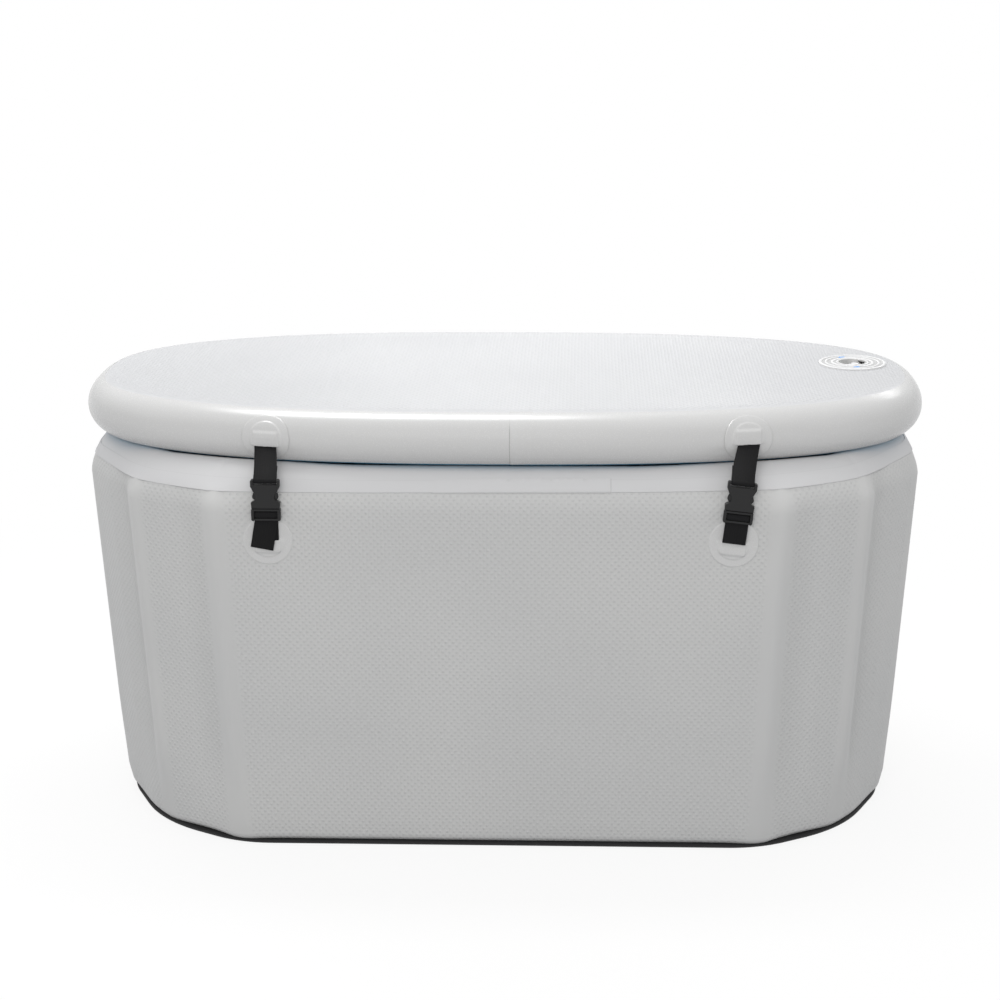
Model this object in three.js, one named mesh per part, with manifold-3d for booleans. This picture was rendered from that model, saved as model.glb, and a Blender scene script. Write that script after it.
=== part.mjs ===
// Cold plunge tub: an air-filled drop-stitch tub with a buckled, lift-off lid.
// Millimetres, +Z up, front towards -Y, origin on the floor under the middle of the tub.

import * as THREE from 'three';
import { mergeVertices } from 'three/addons/utils/BufferGeometryUtils.js';
import Module from 'manifold-3d';

const wasm = await Module();
wasm.setup();

// Clearance left between pieces that touch, and how far a cutter runs past the face it opens
const GAP = 0.3;
const OVERCUT = 1;

// Wall: a ring of flat panels that turn at upright folds, widest just below the rounded rim
const TUB_LENGTH = 1528;
const TUB_WIDTH = 768;
const FRONT_PANEL = 995;
const END_PANEL = 212;
const FOLD_ANGLE = THREE.MathUtils.degToRad(30);
const FOLD_RADIUS = 70;
const INNER_FOLD_RADIUS = 10;
const FOLD_STEPS = 2;
const WALL = 100;
const RIM_HEIGHT = 709;
const NOSE_HEIGHT = 72;
const BASE_SHARE = 0.936;
const HEM_RADIUS = 16;
const SKIN = 1.5;

// Rim seam, below the top of the rim, and the tape that covers it
const SEAM_DROP = 23;
const TAPE_WIDTH = 20;
const TAPE = 1;

// Floor panel and the wear pad under the tub
const FLOOR = 50;
const FLOOR_EDGE = 8;
const PAD = 12;
const PAD_INSET = 4;
const PAD_EDGE = 4;

// Lid: a flat oval panel with a half-round edge
const LID_END_OVERHANG = 11;
const LID_SIDE_SETBACK = 12;
const LID = 100;
const LID_SQUARENESS = 2.55;
const LID_POINTS = 40;
const LID_SEAM = 6;
const LID_BLUE_ANGLE = THREE.MathUtils.degToRad(66);

// Straps: round patches on the tub and the lid, joined by webbing and a buckle
const STRAP_X = 405;
const FRONT_STRAP_SHIFT = 6;
const PATCH_BELOW_RIM = 124;
const PATCH_RADIUS = 40;
const PATCH_SHEET = 2;
const COVER_RADIUS = 35;
const COVER = 1.6;
const COVER_SLIT = 3;
const LID_COVER_SLIT = 7;
const POCKET = 19;
const WEBBING = 40;
const WEBBING_THICKNESS = 2;
const STRAP_STANDOFF = 2;
const TAIL_DROP = 16;
const LAP_SHARE = 0.42;
const RIGHT_STRAP_LEAN = THREE.MathUtils.degToRad(6.5);

// Side-release buckle, measured from a level that stands above the middle of the patch
const BUCKLE_RISE = 76;
const BUCKLE_WIDTH = 51;
const BUCKLE_DEPTH = 11;
const BUCKLE_BEVEL = 1;
const FEMALE_TOP = 38;
const MATING_LEVEL = -14;
const MALE_BOTTOM = -36;
const BAR_DEPTH = 4.4;
const BAR = 4;
const SLOT = 5;
const EAR = 12;
const SCALLOP_RADIUS = 10;
const SCALLOP_REACH = 26;
const SCALLOP_TURN = THREE.MathUtils.degToRad(60);
const SOCKET_HALF = 18.5;
const SOCKET_TOP = 23;
const SOCKET_DEPTH = 6.2;
const PRONG_DEPTH = 5;
const PRONG_HALF = 3.5;
const PRONG_TOP = 19;
const PRONG_ROOT = 2;
const ARM = 5;
const ARM_X = 13;
const ARM_TOP = 20;
const TAB_REACH = 23;
const TAB_BOTTOM = 1.5;
const TAB_TOP = 14.5;
const TAB_PLAY = 1.3;
const TAB_SLOPE = 2;

// Air valves: one on the lid, one on the back panel of the wall
const LID_VALVE_FROM_END = 120;
const LID_VALVE_Y = 47;
const WALL_VALVE_X = 200;
const WALL_VALVE_BELOW_RIM = 183;
const FLANGE_RADIUS = 63;
const FLANGE = 1.6;
const FLANGE_RINGS = [50, 38];
const RING_HALF = 1.6;
const RING_RISE = 1.4;
const COLLAR = 3;
const COLLAR_RISE = 5;
const WELL_RADIUS = 25;
const VALVE_WALL = 2.5;
const VALVE_DEPTH = 34;
const SEAT_LIP = 6;
const WEB_LEVEL = -27;
const WEB = 3;
const AIR_HOLES = 4;
const AIR_HOLE_RADIUS = 5;
const PIN_RADIUS = 3.3;
const BUTTON_RADIUS = 9;
const BUTTON_TOP = -5;
const BUTTON = 4.5;
const SEAL = 3.4;
const PIN_TRAVEL = 5;
const SPRING_RADIUS = 6;
const WIRE_RADIUS = 0.6;
const CURLS = 5;
const CURL_STEPS = 8;
const WIRE_SIDES = 5;

// Drain, low on the back panel
const DRAIN_X = -200;
const DRAIN_ABOVE_FLOOR = 46;
const DRAIN_BORE = 16;
const DRAIN_WALL = 4;
const DRAIN_FLANGE_RADIUS = 38;
const DRAIN_FLANGE = 5;
const DRAIN_EDGE = 1;
const DRAIN_GASKET = 2;
const DRAIN_SPOUT = 16;
const DRAIN_NUT_RADIUS = 34;
const DRAIN_NUT = 8;
const DRAIN_CAP_WALL = 4;
const DRAIN_CAP_RIBS = 16;
const DRAIN_RIB = 0.9;

const ROUND_STEPS = 20;
const HOLE_STEPS = 8;
const DRUM_STEPS = 36;

const WIDE_LEVEL = RIM_HEIGHT - NOSE_HEIGHT;
const PATCH_HEIGHT = RIM_HEIGHT - PATCH_BELOW_RIM;
const WALL_BOTTOM = PAD + GAP;
const FLOOR_TOP = WALL_BOTTOM + FLOOR;
const WALL_LEAN = Math.atan(TUB_WIDTH / 2 * (1 - BASE_SHARE) / WIDE_LEVEL);
const LID_X = TUB_LENGTH / 2 + LID_END_OVERHANG;
const LID_Y = TUB_WIDTH / 2 - LID_SIDE_SETBACK;
const LID_EDGE = LID / 2;
const LID_BOTTOM = RIM_HEIGHT + GAP;
const LID_MIDDLE = LID_BOTTOM + LID_EDGE;
const LID_TOP = LID_BOTTOM + LID;

// Webbing and buckle levels outward from the middle of the tub
const LOAD_OUT = TUB_WIDTH / 2 + STRAP_STANDOFF + WEBBING_THICKNESS / 2;
const TAIL_OUT = LOAD_OUT + WEBBING_THICKNESS + GAP;
const BAR_OUT = TAIL_OUT + WEBBING_THICKNESS / 2 + GAP + BAR_DEPTH / 2;
const WRAP = BAR_DEPTH / 2 + GAP + WEBBING_THICKNESS / 2;
const POCKET_OUT = GAP + PATCH_SHEET + GAP + WEBBING_THICKNESS / 2;
const COVER_OUT = POCKET_OUT + WEBBING_THICKNESS / 2 + GAP + COVER;

const WALL_VALVE_HEIGHT = RIM_HEIGHT - WALL_VALVE_BELOW_RIM;
const DRAIN_HEIGHT = FLOOR_TOP + DRAIN_ABOVE_FLOOR;
const VALVE_RADIUS = WELL_RADIUS + VALVE_WALL;
const DRAIN_RADIUS = DRAIN_BORE + DRAIN_WALL;

const plastic = (color, roughness) => new THREE.MeshStandardMaterial({ color, roughness, metalness: 0 });
const MATERIALS = {
  panel: plastic(0xb8babb, 0.5),
  rail: plastic(0xc6c8c9, 0.4),
  tape: plastic(0xc2c4c6, 0.35),
  blue: plastic(0x2f5f74, 0.5),
  thread: plastic(0xd8d8d4, 0.9),
  pad: plastic(0x18191a, 0.7),
  webbing: plastic(0x141415, 0.85),
  buckle: plastic(0x1a1a1b, 0.45),
  valve: plastic(0xcfd1d2, 0.4),
  seal: plastic(0x3a3c3d, 0.8),
  steel: new THREE.MeshStandardMaterial({ color: 0xb5b8ba, roughness: 0.35, metalness: 0.9 }),
};

const part = new THREE.Group();

function addPiece(parent, name, geometry, material) {
  const mesh = new THREE.Mesh(geometry, MATERIALS[material]);
  mesh.name = name;
  parent.add(mesh);
  return mesh;
}

// Closed solids and cuts

function solidOf(geometry) {
  const bare = geometry.clone();
  bare.deleteAttribute('normal');
  bare.deleteAttribute('uv');
  const merged = mergeVertices(bare);
  const vertProperties = new Float32Array(merged.attributes.position.array);
  const triVerts = new Uint32Array(merged.index.array);
  return new wasm.Manifold(new wasm.Mesh({ numProp: 3, vertProperties, triVerts }));
}

function geometryOf(solid) {
  const mesh = solid.getMesh();
  const geometry = new THREE.BufferGeometry();
  geometry.setAttribute('position', new THREE.BufferAttribute(mesh.vertProperties, 3));
  geometry.setIndex(new THREE.BufferAttribute(mesh.triVerts, 1));
  return geometry;
}

function cut(geometry, ...cutters) {
  return geometryOf(cutters.reduce((left, cutter) => left.subtract(solidOf(cutter)), solidOf(geometry)));
}

function join(...geometries) {
  const [first, ...rest] = geometries.map(solidOf);
  return geometryOf(rest.reduce((whole, piece) => whole.add(piece), first));
}

function common(first, second) {
  return geometryOf(solidOf(first).intersect(solidOf(second)));
}

function signedVolume(points, faces) {
  let volume = 0;
  for (let i = 0; i < faces.length; i += 3) {
    const [a, b, c] = [points[faces[i]], points[faces[i + 1]], points[faces[i + 2]]];
    volume += a.dot(b.clone().cross(c)) / 6;
  }
  return volume;
}

// Skins a row of rings with as many points each, closed into a hoop or capped at both ends
function loft(rings, hoop) {
  const count = rings[0].length;
  const points = rings.flat();
  const faces = [];
  const spans = hoop ? rings.length : rings.length - 1;
  for (let span = 0; span < spans; span += 1) {
    const low = span * count;
    const high = ((span + 1) % rings.length) * count;
    for (let k = 0; k < count; k += 1) {
      const next = (k + 1) % count;
      faces.push(low + k, low + next, high + next, low + k, high + next, high + k);
    }
  }
  if (!hoop) {
    const last = points.length - count;
    for (let k = 1; k < count - 1; k += 1) {
      faces.push(0, k + 1, k, last, last + k, last + k + 1);
    }
  }
  if (signedVolume(points, faces) < 0) {
    faces.reverse();
  }
  const geometry = new THREE.BufferGeometry().setFromPoints(points);
  geometry.setIndex(faces);
  return geometry;
}

// A turned piece about local Z: the profile of radius and height pairs closes on itself or on the axis
function turned(profile, closes = true, sides = ROUND_STEPS) {
  const points = profile.map(([radius, height]) => new THREE.Vector2(radius, height));
  if (closes) {
    points.push(points[0].clone());
  }
  const geometry = new THREE.LatheGeometry(points, sides).rotateX(Math.PI / 2);
  const bare = mergeVertices(geometry.deleteAttribute('normal').deleteAttribute('uv'));
  return geometryOf(solidOf(bare).volume() > 0 ? solidOf(bare) : solidOf(flipped(bare)));
}

function flipped(geometry) {
  const turnedOver = geometry.clone();
  turnedOver.setIndex([...geometry.index.array].reverse());
  return turnedOver;
}

function rod(radius, low, high, sides = ROUND_STEPS) {
  const geometry = new THREE.CylinderGeometry(radius, radius, high - low, sides);
  return geometry.rotateX(Math.PI / 2).translate(0, 0, (low + high) / 2);
}

function block(left, right, depth, low, high) {
  const geometry = new THREE.BoxGeometry(right - left, depth, high - low);
  return geometry.translate((left + right) / 2, 0, (low + high) / 2);
}

// A front-view outline given depth about local Y
function plate(shape, depth, bevel = 0) {
  const geometry = new THREE.ExtrudeGeometry(shape, {
    depth: depth - 2 * bevel,
    bevelEnabled: bevel > 0,
    bevelSegments: 1,
    bevelThickness: bevel,
    bevelSize: bevel,
    bevelOffset: -bevel,
    curveSegments: 4,
  });
  return geometry.rotateX(Math.PI / 2).translate(0, depth / 2 - bevel, 0);
}

// Plan of the wall

function foldCorners() {
  const runX = (TUB_LENGTH - FRONT_PANEL) / 2;
  const runY = (TUB_WIDTH - END_PANEL) / 2;
  const side = (runX * Math.sin(2 * FOLD_ANGLE) - runY * Math.cos(2 * FOLD_ANGLE)) / Math.sin(FOLD_ANGLE);
  const half = [
    new THREE.Vector2(TUB_LENGTH / 2, END_PANEL / 2),
    new THREE.Vector2(
      FRONT_PANEL / 2 + side * Math.cos(FOLD_ANGLE),
      TUB_WIDTH / 2 - side * Math.sin(FOLD_ANGLE),
    ),
    new THREE.Vector2(FRONT_PANEL / 2, TUB_WIDTH / 2),
  ];
  const mirrored = half.map((corner) => new THREE.Vector2(-corner.x, corner.y)).reverse();
  const back = [...half, ...mirrored];
  return [...back, ...back.map((corner) => corner.clone().negate())];
}

const FOLD_CORNERS = foldCorners();

function inwardNormal(from, to) {
  const along = to.clone().sub(from).normalize();
  return new THREE.Vector2(-along.y, along.x);
}

function planRing(scale, inset, radius, z) {
  const count = FOLD_CORNERS.length;
  return FOLD_CORNERS.flatMap((corner, index) => {
    const before = inwardNormal(FOLD_CORNERS[(index + count - 1) % count], corner);
    const after = inwardNormal(corner, FOLD_CORNERS[(index + 1) % count]);
    const miter = before.clone().add(after).divideScalar(1 + before.dot(after));
    const centre = corner.clone().multiplyScalar(scale).addScaledVector(miter, inset + radius);
    const turn = Math.acos(before.dot(after));
    return Array.from({ length: FOLD_STEPS + 1 }, (_, step) => {
      const normal = before.clone().rotateAround(new THREE.Vector2(), turn * step / FOLD_STEPS);
      return new THREE.Vector3(centre.x - radius * normal.x, centre.y - radius * normal.y, z);
    });
  });
}

const planScale = (z) => BASE_SHARE + (1 - BASE_SHARE) * Math.min(z / WIDE_LEVEL, 1);
const wallFace = (z) => TUB_WIDTH / 2 * planScale(z);

function wallRing({ inset, z }) {
  return planRing(planScale(z), inset, Math.max(FOLD_RADIUS - inset, INNER_FOLD_RADIUS), z);
}

// Section of the wall: points by their depth under its surface

function steps(from, to, count) {
  return Array.from({ length: count + 1 }, (_, step) => from + (to - from) * step / count);
}

function nosePoint(depth, angle) {
  return {
    inset: WALL / 2 - (WALL / 2 - depth) * Math.cos(angle),
    z: WIDE_LEVEL + (NOSE_HEIGHT - depth) * Math.sin(angle),
  };
}

function hemPoint(depth, angle) {
  return {
    inset: HEM_RADIUS - (HEM_RADIUS - depth) * Math.cos(angle),
    z: WALL_BOTTOM + HEM_RADIUS - (HEM_RADIUS - depth) * Math.sin(angle),
  };
}

const noseAngle = (drop) => Math.asin((NOSE_HEIGHT - drop) / NOSE_HEIGHT);
const nose = (depth, angles) => angles.map((angle) => nosePoint(depth, angle));
const hem = (depth) => steps(Math.PI / 2, 0, 2).map((angle) => hemPoint(depth, angle));
const wallLoft = (section) => loft(section.map(wallRing), true);

// Skins, core and rail turn at the same angles of the rim, so that their facets lie parallel
const SEAM_ANGLE = noseAngle(SEAM_DROP);
const FAR_SEAM_ANGLE = Math.PI - SEAM_ANGLE;
const BUTT_ANGLE = GAP / (WALL / 2);
const OUTER_TURN = steps(0, SEAM_ANGLE, 2);
const INNER_TURN = steps(FAR_SEAM_ANGLE, Math.PI, 2);
const RAIL_TURN = steps(SEAM_ANGLE, FAR_SEAM_ANGLE, 4).slice(1, -1);

function wallCore() {
  const depth = SKIN + GAP;
  const foot = { inset: WALL - depth, z: WALL_BOTTOM + depth };
  return wallLoft([...hem(depth), ...nose(depth, [...OUTER_TURN, ...RAIL_TURN, ...INNER_TURN]), foot]);
}

function wallOuterSkin() {
  const outside = [...hem(0), ...nose(0, OUTER_TURN)];
  const inside = [...hem(SKIN), ...nose(SKIN, OUTER_TURN)];
  return wallLoft([...outside, ...inside.reverse()]);
}

function wallInnerSkin() {
  const outside = [...nose(0, INNER_TURN), { inset: WALL, z: WALL_BOTTOM }];
  const inside = [...nose(SKIN, INNER_TURN), { inset: WALL - SKIN, z: WALL_BOTTOM }];
  return wallLoft([...outside, ...inside.reverse()]);
}

function rimBand(low, high, angles) {
  return wallLoft([...nose(low, angles), ...nose(high, angles).reverse()]);
}

function rimRail() {
  return rimBand(0, SKIN, [SEAM_ANGLE + BUTT_ANGLE, ...RAIL_TURN, FAR_SEAM_ANGLE - BUTT_ANGLE]);
}

function rimTape(side) {
  const low = noseAngle(SEAM_DROP + TAPE_WIDTH / 2);
  const high = noseAngle(SEAM_DROP - TAPE_WIDTH / 2);
  const outer = [low, SEAM_ANGLE, high];
  const angles = side === 'outer' ? outer : outer.map((angle) => Math.PI - angle);
  return rimBand(-GAP - TAPE, -GAP, angles);
}

function floorPanel() {
  const inset = WALL + GAP;
  const edge = INNER_FOLD_RADIUS + FLOOR_EDGE;
  const section = [
    { inset: inset + FLOOR_EDGE, z: WALL_BOTTOM },
    { inset, z: WALL_BOTTOM + FLOOR_EDGE },
    { inset, z: FLOOR_TOP - FLOOR_EDGE },
    { inset: inset + FLOOR_EDGE, z: FLOOR_TOP },
  ];
  return loft(section.map((point) => planRing(planScale(point.z), point.inset, edge, point.z)), false);
}

function basePad() {
  const section = [
    { inset: PAD_INSET + PAD_EDGE, z: 0 },
    { inset: PAD_INSET, z: PAD_EDGE },
    { inset: PAD_INSET, z: PAD - PAD_EDGE },
    { inset: PAD_INSET + PAD_EDGE, z: PAD },
  ];
  return loft(section.map((point) => planRing(BASE_SHARE, point.inset, FOLD_RADIUS, point.z)), false);
}

// Fittings stand on the leaning back panel, local +Z outward

function wallPort(x, height) {
  const port = new THREE.Group();
  port.position.set(x, wallFace(height), height);
  port.rotation.x = -(Math.PI / 2 + WALL_LEAN);
  port.updateMatrix();
  return port;
}

const wallValve = wallPort(WALL_VALVE_X, WALL_VALVE_HEIGHT);
const drain = wallPort(DRAIN_X, DRAIN_HEIGHT);

const drainBore = rod(DRAIN_RADIUS + GAP, -2 * WALL, WALL).applyMatrix4(drain.matrix);
const pocketFloor = -VALVE_DEPTH - SEAL - 2 * PIN_TRAVEL;
const valveMouth = rod(VALVE_RADIUS + GAP, -2 * SKIN, 2 * SKIN);
const valvePocket = rod(VALVE_RADIUS + PIN_TRAVEL, pocketFloor, 2 * SKIN);

addPiece(
  part, 'wall_core',
  cut(wallCore(), drainBore, valvePocket.clone().applyMatrix4(wallValve.matrix)), 'thread',
);
addPiece(
  part, 'wall_outer_skin',
  cut(wallOuterSkin(), drainBore, valveMouth.clone().applyMatrix4(wallValve.matrix)), 'panel',
);
addPiece(part, 'wall_inner_skin', cut(wallInnerSkin(), drainBore), 'panel');
addPiece(part, 'rim_rail', rimRail(), 'rail');
addPiece(part, 'rim_tape_outer', rimTape('outer'), 'tape');
addPiece(part, 'rim_tape_inner', rimTape('inner'), 'tape');
addPiece(part, 'floor_panel', floorPanel(), 'panel');
addPiece(part, 'base_pad', basePad(), 'pad');

// Lid

function lidRing({ inset, z }) {
  return Array.from({ length: LID_POINTS }, (_, step) => {
    const angle = 2 * Math.PI * step / LID_POINTS;
    const oval = (value) => Math.sign(value) * Math.abs(value) ** (2 / LID_SQUARENESS);
    const x = (LID_X - inset) * oval(Math.cos(angle));
    const y = (LID_Y - inset) * oval(Math.sin(angle));
    return new THREE.Vector3(x, y, z);
  });
}

function edgePoint(depth, angle) {
  return {
    inset: LID_EDGE - (LID_EDGE - depth) * Math.cos(angle),
    z: LID_MIDDLE + (LID_EDGE - depth) * Math.sin(angle),
  };
}

const edge = (depth, angles) => angles.map((angle) => edgePoint(depth, angle));
const lidLoft = (section, hoop) => loft(section.map(lidRing), hoop);

const RIGHT_ANGLE = Math.PI / 2;
const RAIL_BOTTOM = -LID_BLUE_ANGLE + GAP / LID_EDGE;
const EDGE_TURN = [...steps(RIGHT_ANGLE, 0, 3), -LID_BLUE_ANGLE / 2];
const BLUE_TURN = [-RIGHT_ANGLE, -LID_BLUE_ANGLE];

function lidCore() {
  return lidLoft(edge(SKIN + GAP, [...EDGE_TURN, ...BLUE_TURN.toReversed()]), false);
}

function lidTopSkin() {
  const inset = LID_EDGE + LID_SEAM;
  return lidLoft([{ inset, z: LID_TOP - SKIN }, { inset, z: LID_TOP }], false);
}

function lidBottomSkin() {
  return lidLoft([...edge(0, BLUE_TURN), ...edge(SKIN, BLUE_TURN).reverse()], false);
}

function lidRail() {
  const lip = LID_EDGE + LID_SEAM - GAP;
  const outside = [{ inset: lip, z: LID_TOP }, ...edge(0, [...EDGE_TURN, RAIL_BOTTOM])];
  const inside = [{ inset: lip, z: LID_TOP - SKIN }, ...edge(SKIN, [...EDGE_TURN, RAIL_BOTTOM])];
  return lidLoft([...outside, ...inside.reverse()], true);
}

const lidValve = new THREE.Group();
lidValve.position.set(LID_X - LID_VALVE_FROM_END, LID_VALVE_Y, LID_TOP);
lidValve.updateMatrix();

addPiece(part, 'lid_core', cut(lidCore(), valvePocket.applyMatrix4(lidValve.matrix)), 'thread');
addPiece(part, 'lid_top_skin', cut(lidTopSkin(), valveMouth.applyMatrix4(lidValve.matrix)), 'panel');
addPiece(part, 'lid_bottom_skin', lidBottomSkin(), 'blue');
addPiece(part, 'lid_rail', lidRail(), 'rail');

// Air valve: ringed flange, threaded body with a bearing web, sprung pin with its seal

function valveFlange() {
  const rings = FLANGE_RINGS.flatMap((radius) => [
    [radius + RING_HALF, GAP + FLANGE],
    [radius, GAP + FLANGE + RING_RISE],
    [radius - RING_HALF, GAP + FLANGE],
  ]);
  const hole = VALVE_RADIUS + GAP;
  return turned([
    [hole, GAP],
    [FLANGE_RADIUS, GAP],
    [FLANGE_RADIUS, GAP + FLANGE / 2],
    [FLANGE_RADIUS - FLANGE, GAP + FLANGE],
    ...rings,
    [hole + COLLAR, GAP + FLANGE],
    [hole + COLLAR, COLLAR_RISE],
    [hole, COLLAR_RISE],
  ]);
}

function valveBody() {
  const shell = turned([
    [VALVE_RADIUS, COLLAR_RISE],
    [WELL_RADIUS, COLLAR_RISE],
    [WELL_RADIUS, WEB_LEVEL],
    [PIN_RADIUS + GAP, WEB_LEVEL],
    [PIN_RADIUS + GAP, WEB_LEVEL - WEB],
    [WELL_RADIUS - SEAT_LIP, WEB_LEVEL - WEB],
    [WELL_RADIUS - SEAT_LIP, -VALVE_DEPTH],
    [VALVE_RADIUS, -VALVE_DEPTH],
  ]);
  const holeReach = (PIN_RADIUS + WELL_RADIUS - SEAT_LIP) / 2;
  const holes = Array.from({ length: AIR_HOLES }, (_, index) => {
    const hole = rod(AIR_HOLE_RADIUS, WEB_LEVEL - 2 * WEB, WEB_LEVEL + WEB, HOLE_STEPS);
    return hole.translate(holeReach, 0, 0).rotateZ(2 * Math.PI * index / AIR_HOLES);
  });
  return cut(shell, ...holes);
}

function valvePin() {
  const sealTop = -VALVE_DEPTH - GAP;
  const sealRadius = VALVE_RADIUS - VALVE_WALL;
  return turned([
    [0, sealTop - SEAL],
    [sealRadius, sealTop - SEAL],
    [sealRadius, sealTop],
    [PIN_RADIUS, sealTop],
    [PIN_RADIUS, BUTTON_TOP - BUTTON],
    [BUTTON_RADIUS, BUTTON_TOP - BUTTON],
    [BUTTON_RADIUS, BUTTON_TOP],
    [0, BUTTON_TOP],
  ], false);
}

// One unbroken helix of wire between the bearing web and the pin's button
function valveSpring() {
  const low = WEB_LEVEL + GAP + WIRE_RADIUS;
  const high = BUTTON_TOP - BUTTON - GAP - WIRE_RADIUS;
  const total = CURLS * CURL_STEPS;
  const rings = Array.from({ length: total + 1 }, (_, step) => {
    const angle = 2 * Math.PI * step / CURL_STEPS;
    const z = low + (high - low) * step / total;
    return Array.from({ length: WIRE_SIDES }, (__, side) => {
      const around = 2 * Math.PI * side / WIRE_SIDES;
      const radius = SPRING_RADIUS + WIRE_RADIUS * Math.cos(around);
      const point = new THREE.Vector3(radius, 0, z + WIRE_RADIUS * Math.sin(around));
      return point.applyAxisAngle(new THREE.Vector3(0, 0, 1), angle);
    });
  });
  return { geometry: loft(rings, false), rings };
}

function leastCurlGap(rings) {
  const centres = rings.map((ring) => {
    const sum = ring.reduce((total, point) => total.add(point), new THREE.Vector3());
    return sum.divideScalar(ring.length);
  });
  let least = Infinity;
  centres.forEach((centre, index) => {
    centres.slice(index + CURL_STEPS / 2).forEach((other) => {
      least = Math.min(least, centre.distanceTo(other) - 2 * WIRE_RADIUS);
    });
  });
  return least;
}

const spring = valveSpring();
console.log(`least gap between spring curls: ${leastCurlGap(spring.rings).toFixed(2)} mm`);

for (const [prefix, port] of [['lid_valve', lidValve], ['wall_valve', wallValve]]) {
  addPiece(port, `${prefix}_flange`, valveFlange(), 'valve');
  addPiece(port, `${prefix}_body`, valveBody(), 'valve');
  addPiece(port, `${prefix}_pin`, valvePin(), 'valve');
  addPiece(port, `${prefix}_spring`, spring.geometry, 'steel');
  part.add(port);
}

// Drain: a flanged tube through the wall, held by an inner nut and closed by a screw cap

const GASKET_TOP = GAP + DRAIN_GASKET;
const FLANGE_TOP = GASKET_TOP + GAP + DRAIN_FLANGE;
const SPOUT_TOP = FLANGE_TOP + DRAIN_SPOUT;
const NUT_TOP = -WALL - GAP;

function drainBody() {
  return turned([
    [DRAIN_BORE, SPOUT_TOP],
    [DRAIN_BORE, NUT_TOP - DRAIN_NUT],
    [DRAIN_RADIUS, NUT_TOP - DRAIN_NUT],
    [DRAIN_RADIUS, GASKET_TOP + GAP],
    [DRAIN_FLANGE_RADIUS, GASKET_TOP + GAP],
    [DRAIN_FLANGE_RADIUS, FLANGE_TOP - DRAIN_EDGE],
    [DRAIN_FLANGE_RADIUS - DRAIN_EDGE, FLANGE_TOP],
    [DRAIN_RADIUS, FLANGE_TOP],
    [DRAIN_RADIUS, SPOUT_TOP],
  ]);
}

function drainGasket() {
  const hole = DRAIN_RADIUS + GAP;
  return turned([
    [hole, GAP],
    [DRAIN_FLANGE_RADIUS - DRAIN_EDGE, GAP],
    [DRAIN_FLANGE_RADIUS - DRAIN_EDGE, GASKET_TOP],
    [hole, GASKET_TOP],
  ]);
}

function drainNut() {
  const hex = new THREE.CylinderGeometry(DRAIN_NUT_RADIUS, DRAIN_NUT_RADIUS, DRAIN_NUT, 6);
  hex.rotateX(Math.PI / 2).translate(0, 0, NUT_TOP - DRAIN_NUT / 2);
  return cut(hex, rod(DRAIN_RADIUS + GAP, NUT_TOP - 2 * DRAIN_NUT, NUT_TOP + DRAIN_NUT));
}

function drainCap() {
  const radius = DRAIN_RADIUS + GAP + DRAIN_CAP_WALL;
  const outline = new THREE.Shape();
  const count = 3 * DRAIN_CAP_RIBS;
  outline.setFromPoints(Array.from({ length: count }, (_, step) => {
    const angle = 2 * Math.PI * step / count;
    const reach = radius + DRAIN_RIB * Math.cos(DRAIN_CAP_RIBS * angle);
    return new THREE.Vector2(reach * Math.cos(angle), reach * Math.sin(angle));
  }));
  const low = FLANGE_TOP + GAP;
  const top = SPOUT_TOP + GAP + DRAIN_CAP_WALL;
  const cup = new THREE.ExtrudeGeometry(outline, { depth: top - low, bevelEnabled: false });
  return cut(cup.translate(0, 0, low), rod(DRAIN_RADIUS + GAP, low - OVERCUT, SPOUT_TOP + GAP));
}

addPiece(drain, 'drain_body', drainBody(), 'valve');
addPiece(drain, 'drain_gasket', drainGasket(), 'seal');
addPiece(drain, 'drain_nut', drainNut(), 'valve');
addPiece(drain, 'drain_cap', drainCap(), 'valve');
part.add(drain);

// Webbing: a flat ribbon through frames that each give its middle and the way across it

function ribbon(frames, width, thickness) {
  const rings = frames.map(({ middle, across }, index) => {
    const from = frames[Math.max(index - 1, 0)].middle;
    const to = frames[Math.min(index + 1, frames.length - 1)].middle;
    const face = to.clone().sub(from).cross(across).normalize();
    const corner = (side, lift) => middle.clone()
      .addScaledVector(across, side * width / 2)
      .addScaledVector(face, lift * thickness / 2);
    return [corner(-1, -1), corner(1, -1), corner(1, 1), corner(-1, 1)];
  });
  return loft(rings, false);
}

// Frames along a path of outward reach and height, in the strap's own upright plane
function flatFrames(points) {
  const apart = (point, index) => index === 0 || point.distanceTo(points[index - 1]) > GAP / 4;
  const kept = points.filter(apart);
  return kept.map((point) => ({
    middle: new THREE.Vector3(0, -point.x, point.y),
    across: new THREE.Vector3(1, 0, 0),
  }));
}

const patchFace = (rise) => wallFace(PATCH_HEIGHT + rise);

function pocketPath(depth) {
  const path = new THREE.Path();
  path.moveTo(patchFace(-depth) + POCKET_OUT, -depth);
  path.lineTo(patchFace(COVER_SLIT) + POCKET_OUT, COVER_SLIT);
  path.lineTo(LOAD_OUT, BUCKLE_RISE + MALE_BOTTOM - BAR);
  return path;
}

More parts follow.
